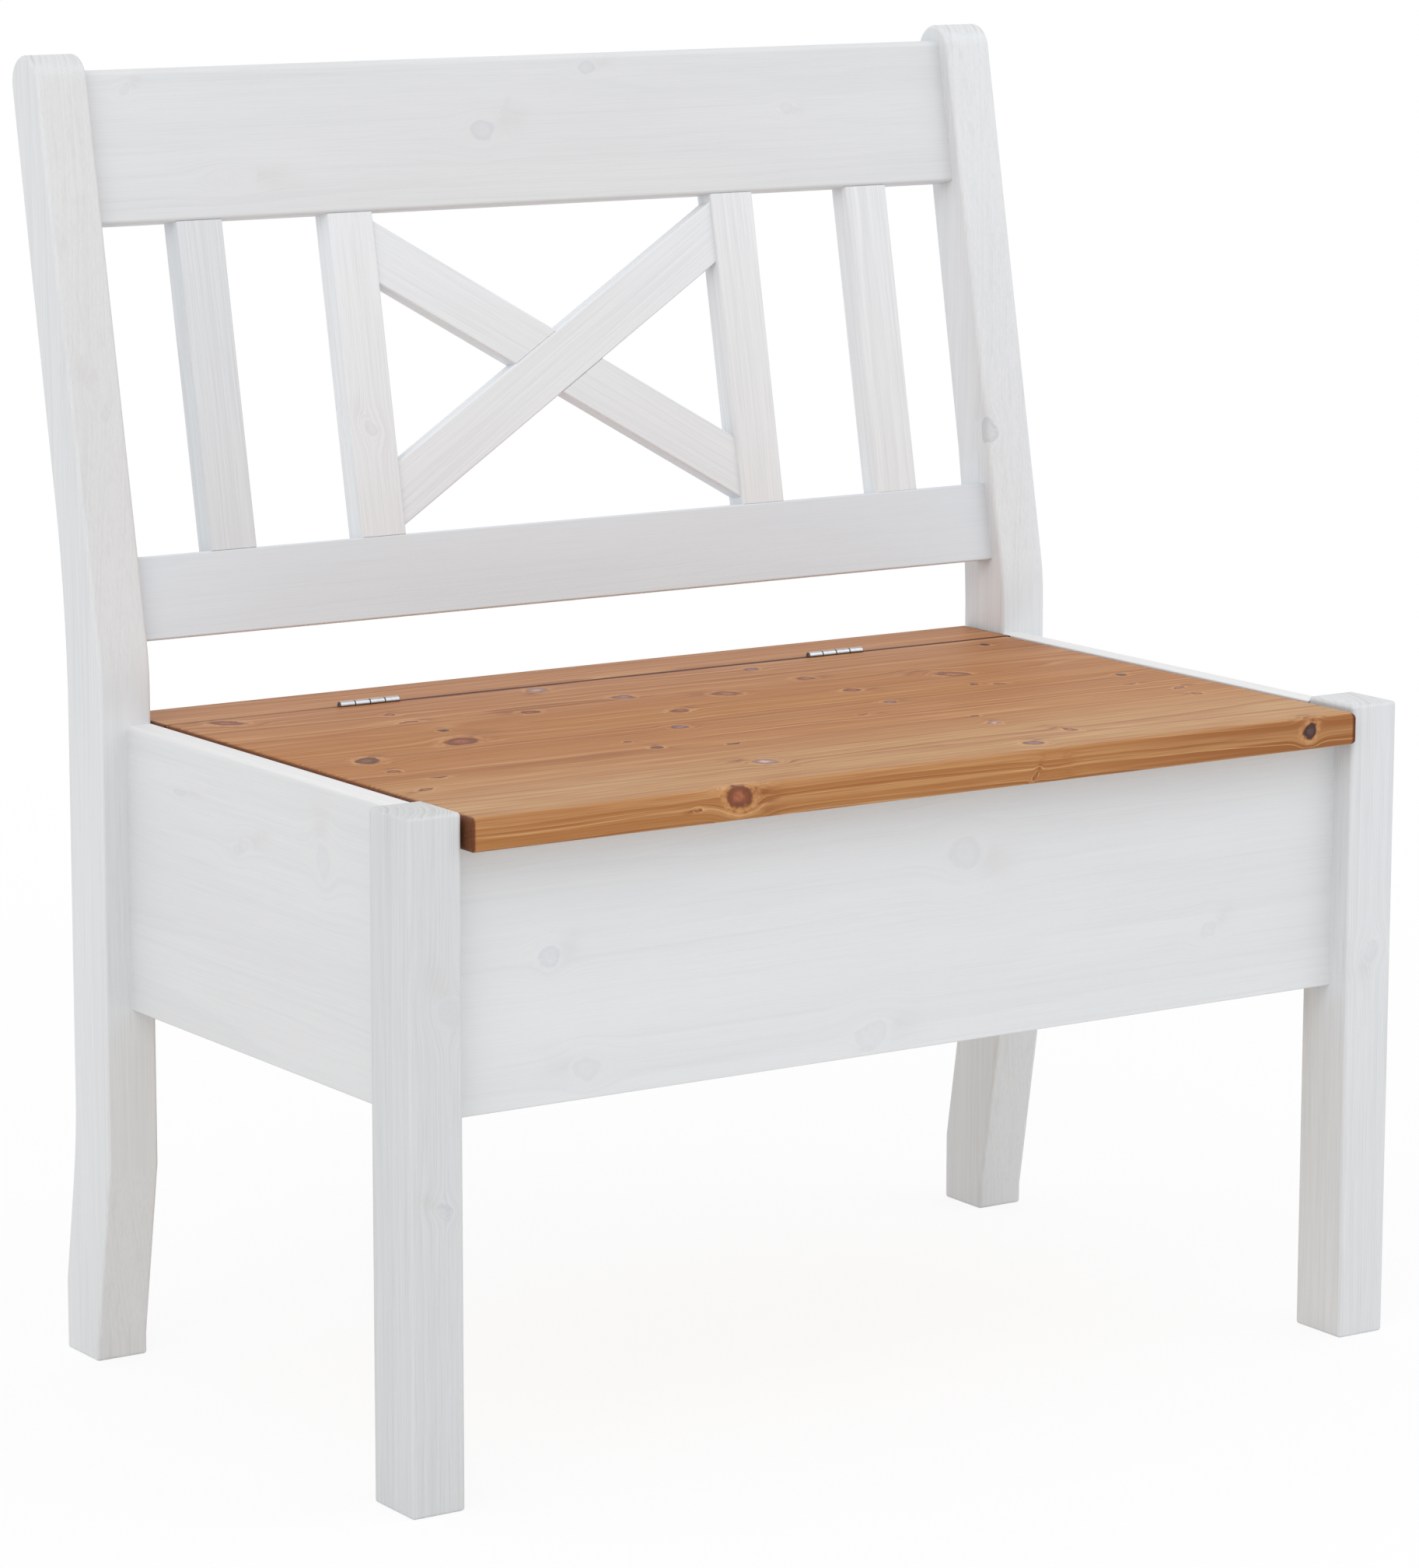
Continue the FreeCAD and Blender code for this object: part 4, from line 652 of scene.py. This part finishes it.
def zinc():
    """Zinc-plated steel with a faint spangle and fine scratches, and painted shade between the
    knuckles and along the barrel's foot.
    """
    material, make = new_material("zinc_plate_detail")
    place = make.node("TexCoord", output="Object")
    spangle = make.node("TexVoronoi", {"Vector": place, "Scale": 420.0}, output="Color")
    cloudy = make.noise(place, (160, 160, 160), 4.0)
    scratch = make.noise(place, (90, 2600, 2600), 3.0)
    level = make.math("MULTIPLY", cloudy, 0.6)
    level = make.math("MULTIPLY_ADD", make.split(spangle, 0), 0.25, level)
    colour = make.mix(level, tone(184, 187, 192), tone(223, 226, 231))
    colour = make.coat(colour, arris(make), 0.5, tone(232, 234, 236))
    # Painted shade: dark in the gaps between knuckles and along the barrel's foot above the lid
    beside, up = make.math("ABSOLUTE", make.split(place, 0)), make.split(place, 2)
    beside = make.math("SUBTRACT", beside, HINGE_MIDDLE - KNUCKLE * 4)
    knuckle_gap_shade = make.span(make.math("PINGPONG", beside, KNUCKLE / 2), 0.0009, 0.0004)
    shade = make.math("MAXIMUM", knuckle_gap_shade, make.span(up, *BARREL_SHADE))
    shade = make.math("MULTIPLY", shade, make.math("GREATER_THAN", up, BARREL_FOOT))
    colour = make.coat(colour, shade, 0.75, tone(70, 66, 66))
    gloss = make.math("MULTIPLY_ADD", scratch, 0.2, 0.12)
    gloss = make.math("MULTIPLY_ADD", cloudy, 0.25, gloss)
    surface = {"Base Color": colour, "Roughness": gloss}
    height = make.math("ADD", scratch, cloudy)
    close_material(make, surface, height, SCRATCH_DEPTH, Metallic=1.0)
    return material


# The glaze of each board: its screen value, how bluish it is, how far the grain shows and, where
# its upward faces are painted paler as painted light, by how much. Values and blueness are partly
# each board's own tone and partly painted light: the right front leg is set paler against the shade
# under the chest, and the lower rail and backrest boards bluer against warm light bounced off the
# lid.
GLAZES = {
    "front_leg_left": (207, 1, 1.1),
    "front_leg_right": (217, 2, 1.1),
    "rear_post_left": (217, 1, 0.8),
    "rear_post_right": (222, 2.5, 0.9),
    "front_panel": (218, 1.6, 0.4),
    "side_panel": (214, 0.5, 0.45, 17),
    "back_panel": (217, 1, 0.45),
    "top_board": (216, 2, 0.5),
    "lower_rail": (218.5, 5, 0.35),
    "slat_1": (219, 3, 1.2),
    "slat": (228.5, 2.5, 1.3),
    "brace": (228, 3, 0.8),
}
# The bare boards: two colours and the width of a growth ring
BARE_WOODS = {
    "beech": (tone(214, 184, 148), tone(186, 146, 108), 0.003),
    "plywood": (tone(222, 196, 158), tone(192, 154, 110), 0.006),
    "bare_pine": (tone(224, 194, 150), tone(188, 142, 96), 0.0042),
}
# Glued boards: the width of a stave, the edge that they are counted from, and the lid's staves
STAVE_WIDTH = 0.0485
STAVE_EDGE = 0.1723
LID_STAVES = range(-8, 1)
PANEL_STAVE_WIDTH = 0.095
PANEL_STAVE_EDGE = 0.329

SLOTS = {name: node.material_slots[0].material.name for name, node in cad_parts.items()}


def by_start(table, name):
    """The table's first entry whose key the name starts with."""
    return next((table[key] for key in table if name.startswith(key)), None)


def white_wood(name, seed):
    """The material of a glazed board."""
    panel = "panel" in name
    flat = panel or name in ("top_board", "lower_rail")
    pith = HEART_BOARD if name == "slat_4" else FLAT_SAWN if flat else PITH
    edge = PANEL_STAVE_EDGE - board_frame(name)[2].z
    staves = (PANEL_STAVE_WIDTH, edge, None) if panel else None
    paint = glaze(*by_start(GLAZES, name))
    return wood(name, seed, paint, list(white_knots(name)), staves, pith=pith)


def honey_wood(name):
    """The material of the lid or the strip, which are cut from one glued board."""
    offset = board_frame(name)[2].y - board_frame("lid")[2].y
    staves = (STAVE_WIDTH, STAVE_EDGE - offset, LID_STAVES)
    knots, edge_knots = (LID_KNOTS, EDGE_KNOTS) if name == "lid" else ((), ())
    return wood(name, 3, honey, knots, staves, edge_knots, offset=offset)


metal = zinc()
for seed, name in enumerate(sorted(SLOTS), 10):
    if SLOTS[name] == "zinc_plate":
        made = metal
    elif SLOTS[name] == "honey_pine":
        made = honey_wood(name)
    elif SLOTS[name] == "white_pine":
        made = white_wood(name, seed)
    else:
        light, dark, ring = BARE_WOODS[SLOTS[name]]
        made = wood(name, seed, bare(light, dark), ring=ring)
    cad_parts[name].material_slots[0].material = made

# Sanded edges: boards whose edges the CAD leaves sharp are copied and eased along the grain, and
# legs and posts under the feet. Each width is in metres.

EASED = {
    "brace_falling": 0.0015, "brace_rising": 0.0015, "lower_rail": 0.0015, "floor_cleat": 0.0015,
    "front_panel": 0.0012, "back_panel": 0.0012, "side_panel": 0.0012, "strip_bearer": 0.0012,
    "chest_floor": 0.0006, "front_leg": 0.0022, "rear_post": 0.0022,
}
LONG_EDGE = 0.03
SHARP = math.radians(50)
ON_THE_FLOOR = 0.0001


def ease(name, width):
    """In place of a CAD node, a copy with rounded long edges, or a leg with a rounded foot."""
    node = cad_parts[name]
    along = board_frame(name)[0]
    bpy.ops.object.select_all(action="DESELECT")
    board = bpy.data.objects.new(name + "_eased", node.data.copy())
    bpy.context.scene.collection.objects.link(board)
    board.select_set(True)
    bpy.context.view_layer.objects.active = board
    bpy.ops.object.mode_set(mode="EDIT")
    bpy.ops.mesh.select_mode(type="EDGE")
    bpy.ops.mesh.select_all(action="SELECT")
    bpy.ops.mesh.remove_doubles(threshold=0.00001)
    bpy.ops.mesh.dissolve_limited(angle_limit=math.radians(0.5))
    bpy.ops.mesh.select_all(action="DESELECT")
    mesh = bmesh.from_edit_mesh(board.data)
    leg = "leg" in name or "post" in name
    for edge in mesh.edges:
        run = edge.verts[1].co - edge.verts[0].co
        straight = run.length > LONG_EDGE and abs(run.normalized().dot(along)) > 0.999
        foot = max(vertex.co.z for vertex in edge.verts) < ON_THE_FLOOR
        sharp = edge.is_convex and edge.calc_face_angle(0) > SHARP
        if sharp and (foot if leg else straight):
            edge.select_set(True)
    bmesh.update_edit_mesh(board.data)
    bpy.ops.mesh.bevel(offset=width, segments=4, affect="EDGES", clamp_overlap=False)
    bpy.ops.mesh.select_mode(type="VERT")
    bpy.ops.object.mode_set(mode="OBJECT")
    bpy.ops.object.shade_smooth_by_angle(angle=math.radians(35))
    weigh = board.modifiers.new("weigh", "WEIGHTED_NORMAL")
    weigh.keep_sharp = True
    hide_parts(name)
    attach(board, "bench")


for name in sorted(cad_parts):
    width = by_start(EASED, name)
    if width:
        ease(name, width)

# Screws with threads and cross recesses, where the CAD has plain ones


def pick(test):
    """In edit mode, select the faces whose middle passes a test."""
    mesh = bmesh.from_edit_mesh(bpy.context.object.data)
    for part in (*mesh.verts, *mesh.edges, *mesh.faces):
        part.select_set(False)
    for face in mesh.faces:
        if test(face.calc_center_median()):
            face.select_set(True)
    bmesh.update_edit_mesh(bpy.context.object.data)


def finish(piece, kind, **settings):
    """Add a modifier and apply it."""
    modifier = piece.modifiers.new(kind.title(), kind)
    for name, setting in settings.items():
        setattr(modifier, name, setting)
    bpy.context.view_layer.objects.active = piece
    bpy.ops.object.modifier_apply(modifier=modifier.name)


def draw_out(distance, narrowing):
    """In edit mode, extrude the selected end down the screw and narrow it."""
    bpy.ops.mesh.extrude_region_move(TRANSFORM_OT_translate={"value": (0, 0, distance)})
    bpy.ops.transform.resize(value=(narrowing, narrowing, 1))


def countersunk_screw(radius, head_radius, length, pitch):
    """A screw that points up from its head, which starts at the origin."""
    bpy.ops.object.select_all(action="DESELECT")
    disc = head_radius * 0.08
    place = (0, 0, disc / 2)
    bpy.ops.mesh.primitive_cylinder_add(vertices=32, radius=head_radius, depth=disc, location=place)
    body = bpy.context.object
    bpy.ops.object.transform_apply(location=True, rotation=False, scale=False)
    core, neck = radius * 0.7, head_radius - radius
    bpy.ops.object.mode_set(mode="EDIT")
    pick(lambda middle: middle.z > disc * 0.9)
    draw_out(neck, radius / head_radius)
    draw_out(pitch, 1)
    draw_out(pitch / 2, core / radius)
    draw_out(length - disc - neck - pitch * 1.5 - radius * 3, 1)
    draw_out(radius * 2.8, 0.2)
    bpy.ops.object.mode_set(mode="OBJECT")

    for turn in (0, 90):
        size = (head_radius * 1.25, head_radius * 0.34, head_radius)
        bpy.ops.mesh.primitive_cube_add(size=1, scale=size, rotation=(0, 0, math.radians(turn)))
        blade = bpy.context.object
        bpy.ops.object.transform_apply(location=False, rotation=True, scale=True)
        bpy.ops.object.mode_set(mode="EDIT")
        pick(lambda middle: middle.z > head_radius * 0.4)
        bpy.ops.transform.resize(value=(0.6, 0.6, 1))
        bpy.ops.object.mode_set(mode="OBJECT")
        finish(body, "BOOLEAN", object=blade, operation="DIFFERENCE", solver="EXACT")
        bpy.data.objects.remove(blade)
    body.select_set(True)
    finish(body, "BEVEL", width=head_radius * 0.03, segments=2, angle_limit=SHARP)

    low = disc + neck + pitch
    bpy.ops.mesh.primitive_circle_add(vertices=3, radius=1, fill_type="NOTHING", location=(0, 0, 0))
    ridge = bpy.context.object
    places = ((radius, low), (core * 0.9, low + pitch * 0.3), (core * 0.9, low - pitch * 0.3))
    for vertex, (out, height) in zip(ridge.data.vertices, places):
        vertex.co = (out, 0, height)
    turns = int((length - low - radius * 2.6) / pitch)
    thread = {"angle": math.tau, "screw_offset": pitch, "iterations": turns}
    finish(ridge, "SCREW", **thread, steps=24, render_steps=24)
    bpy.ops.object.mode_set(mode="EDIT")
    bpy.ops.mesh.select_all(action="SELECT")
    bpy.ops.mesh.fill_holes(sides=3)
    bpy.ops.mesh.normals_make_consistent(inside=False)
    bpy.ops.object.mode_set(mode="OBJECT")
    body.select_set(True)
    ridge.select_set(True)
    bpy.context.view_layer.objects.active = body
    bpy.ops.object.join()
    bpy.ops.object.shade_smooth_by_angle(angle=math.radians(40))
    return body


def screw_set(name, node, body, pattern, heads):
    """Copies of one screw at all the places of a CAD node, as one piece."""
    bpy.ops.object.select_all(action="DESELECT")
    for place, way in heads:
        copy = bpy.data.objects.new(name, pattern.data.copy())
        turn = way.to_track_quat("Z", "Y").to_matrix().to_4x4()
        copy.data.transform(Matrix.Translation(place) @ turn)
        bpy.context.scene.collection.objects.link(copy)
        copy.select_set(True)
        bpy.context.view_layer.objects.active = copy
    bpy.ops.object.join()
    piece = bpy.context.object
    piece.name = piece.data.name = name
    piece.data.materials.clear()
    piece.data.materials.append(metal)
    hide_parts(node)
    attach(piece, body)


# Screw sizes: radius, head radius, length and pitch
LEAF_SCREW = 0.0015, 0.0025, 0.015, 0.0012
CLEAT_SCREW = 0.002, 0.004, 0.032, 0.0018
# The leaves' screws: their spacing and height, and the two faces of the leaves
LEAF_SCREW_STEP = 0.018
LEAF_SCREW_HEIGHT = 0.4595
LEAF_FACES = {"fixed": (0.1426, "bench", Y), "lid": (0.1414, "lid", -Y)}
# The cleats' screws: their height, the inner faces of the cleats, and the places along them
CLEAT_SCREW_HEIGHT = 0.275
LONG_CLEATS = (-0.209, -Y), (0.164, Y)
LONG_CLEAT_PLACES = (-0.3, 0, 0.3)
SIDE_CLEAT = 0.356
SIDE_CLEAT_PLACES = (-0.1725, 0.1275)

leaf_screw = countersunk_screw(*LEAF_SCREW)
across = [side * (HINGE_MIDDLE + step * LEAF_SCREW_STEP) for side in (-1, 1) for step in (-1, 0, 1)]
for leaf, (face, body, way) in LEAF_FACES.items():
    heads = [((x, face, LEAF_SCREW_HEIGHT), way) for x in across]
    screw_set(leaf + "_leaf_screws", f"hinge_{leaf}_screws", body, leaf_screw, heads)
cleat_screw = countersunk_screw(*CLEAT_SCREW)
heads = [((x, face, CLEAT_SCREW_HEIGHT), way)
         for x in LONG_CLEAT_PLACES for face, way in LONG_CLEATS]
heads += [((side * SIDE_CLEAT, y, CLEAT_SCREW_HEIGHT), X * side)
          for side in (-1, 1) for y in SIDE_CLEAT_PLACES]
screw_set("floor_cleat_screws", "cleat_screws", "bench", cleat_screw, heads)
for pattern in (leaf_screw, cleat_screw):
    bpy.data.objects.remove(pattern)

# Stage: floor, light and camera


def seen_directly(make):
    """One for the rays that see a background, straight or in metal and glass."""
    path = make.tree.nodes.new("ShaderNodeLightPath").outputs
    seen = make.math("MAXIMUM", path["Is Camera Ray"], path["Is Glossy Ray"])
    return make.math("MAXIMUM", seen, path["Is Transmission Ray"])


def floor(reach=60):
    """A pale floor that is matt under the bench, where it takes the shadow, and white far off."""
    mesh = bpy.data.meshes.new("floor")
    corners = [(-reach, -reach, 0), (reach, -reach, 0), (reach, reach, 0), (-reach, reach, 0)]
    mesh.from_pydata(corners, [], [(0, 1, 2, 3)])
    plane = bpy.data.objects.new("floor", mesh)
    bpy.context.scene.collection.objects.link(plane)
    material, make = new_material("pale_floor")
    matt = make.node("BsdfDiffuse", {"Color": (0.895, 0.9, 0.91, 1)})
    white = make.node("Emission", {"Color": (1, 1, 1, 1), "Strength": 1.0})
    place = make.node("TexCoord", output="Object")
    distance = make.node("VectorMath", (place,), output=1, operation="LENGTH")
    share = make.span(distance, 0.7, 3.0, 0.87, 1.0)
    lit = make.node("MixShader", (share, matt, white))
    shown = make.node("MixShader", (seen_directly(make), matt, lit))
    make.node("OutputMaterial", (shown,))
    mesh.materials.append(material)


def sky():
    """Even light from all round, which looks white behind the bench."""
    world = bpy.data.worlds.new("studio")
    world.use_nodes = True
    world.node_tree.nodes.clear()
    make = Shader(world.node_tree)
    light = make.node("Background", {"Color": (1, 1, 1, 1), "Strength": 0.92})
    white = make.node("Background", {"Color": (1, 1, 1, 1), "Strength": 1.0})
    make.node("OutputWorld", (make.node("MixShader", (seen_directly(make), light, white)),))
    bpy.context.scene.world = world


def softbox(name, place, power, size):
    """A square lamp that points at the middle of the bench."""
    lamp = bpy.data.lights.new(name, "AREA")
    lamp.energy = power
    lamp.size = size
    lit = bpy.data.objects.new(name, lamp)
    lit.location = place
    way = Vector((0, 0, 0.4)) - Vector(place)
    lit.rotation_euler = way.to_track_quat("-Z", "Y").to_euler()
    lit.visible_camera = False
    bpy.context.scene.collection.objects.link(lit)


def camera():
    data = bpy.data.cameras.new("camera")
    data.lens = CAMERA_LENS
    data.clip_end = 200
    seen = bpy.data.objects.new("camera", data)
    turn = Matrix.Rotation(math.radians(-CAMERA_YAW), 3, "Z")
    turn = turn @ Matrix.Rotation(math.radians(90 - CAMERA_PITCH), 3, "X")
    turn = turn @ Matrix.Rotation(math.radians(CAMERA_ROLL), 3, "Z")
    seen.rotation_euler = turn.to_euler()
    seen.location = CAMERA_PLACE
    bpy.context.scene.collection.objects.link(seen)
    bpy.context.scene.camera = seen


floor()
sky()
softbox("key", (-3.6, -2.6, 4.0), power=60, size=3.5)
softbox("fill", (3.0, -2.0, 3.5), power=22, size=3.0)
camera()
bpy.context.scene.view_settings.view_transform = "Standard"
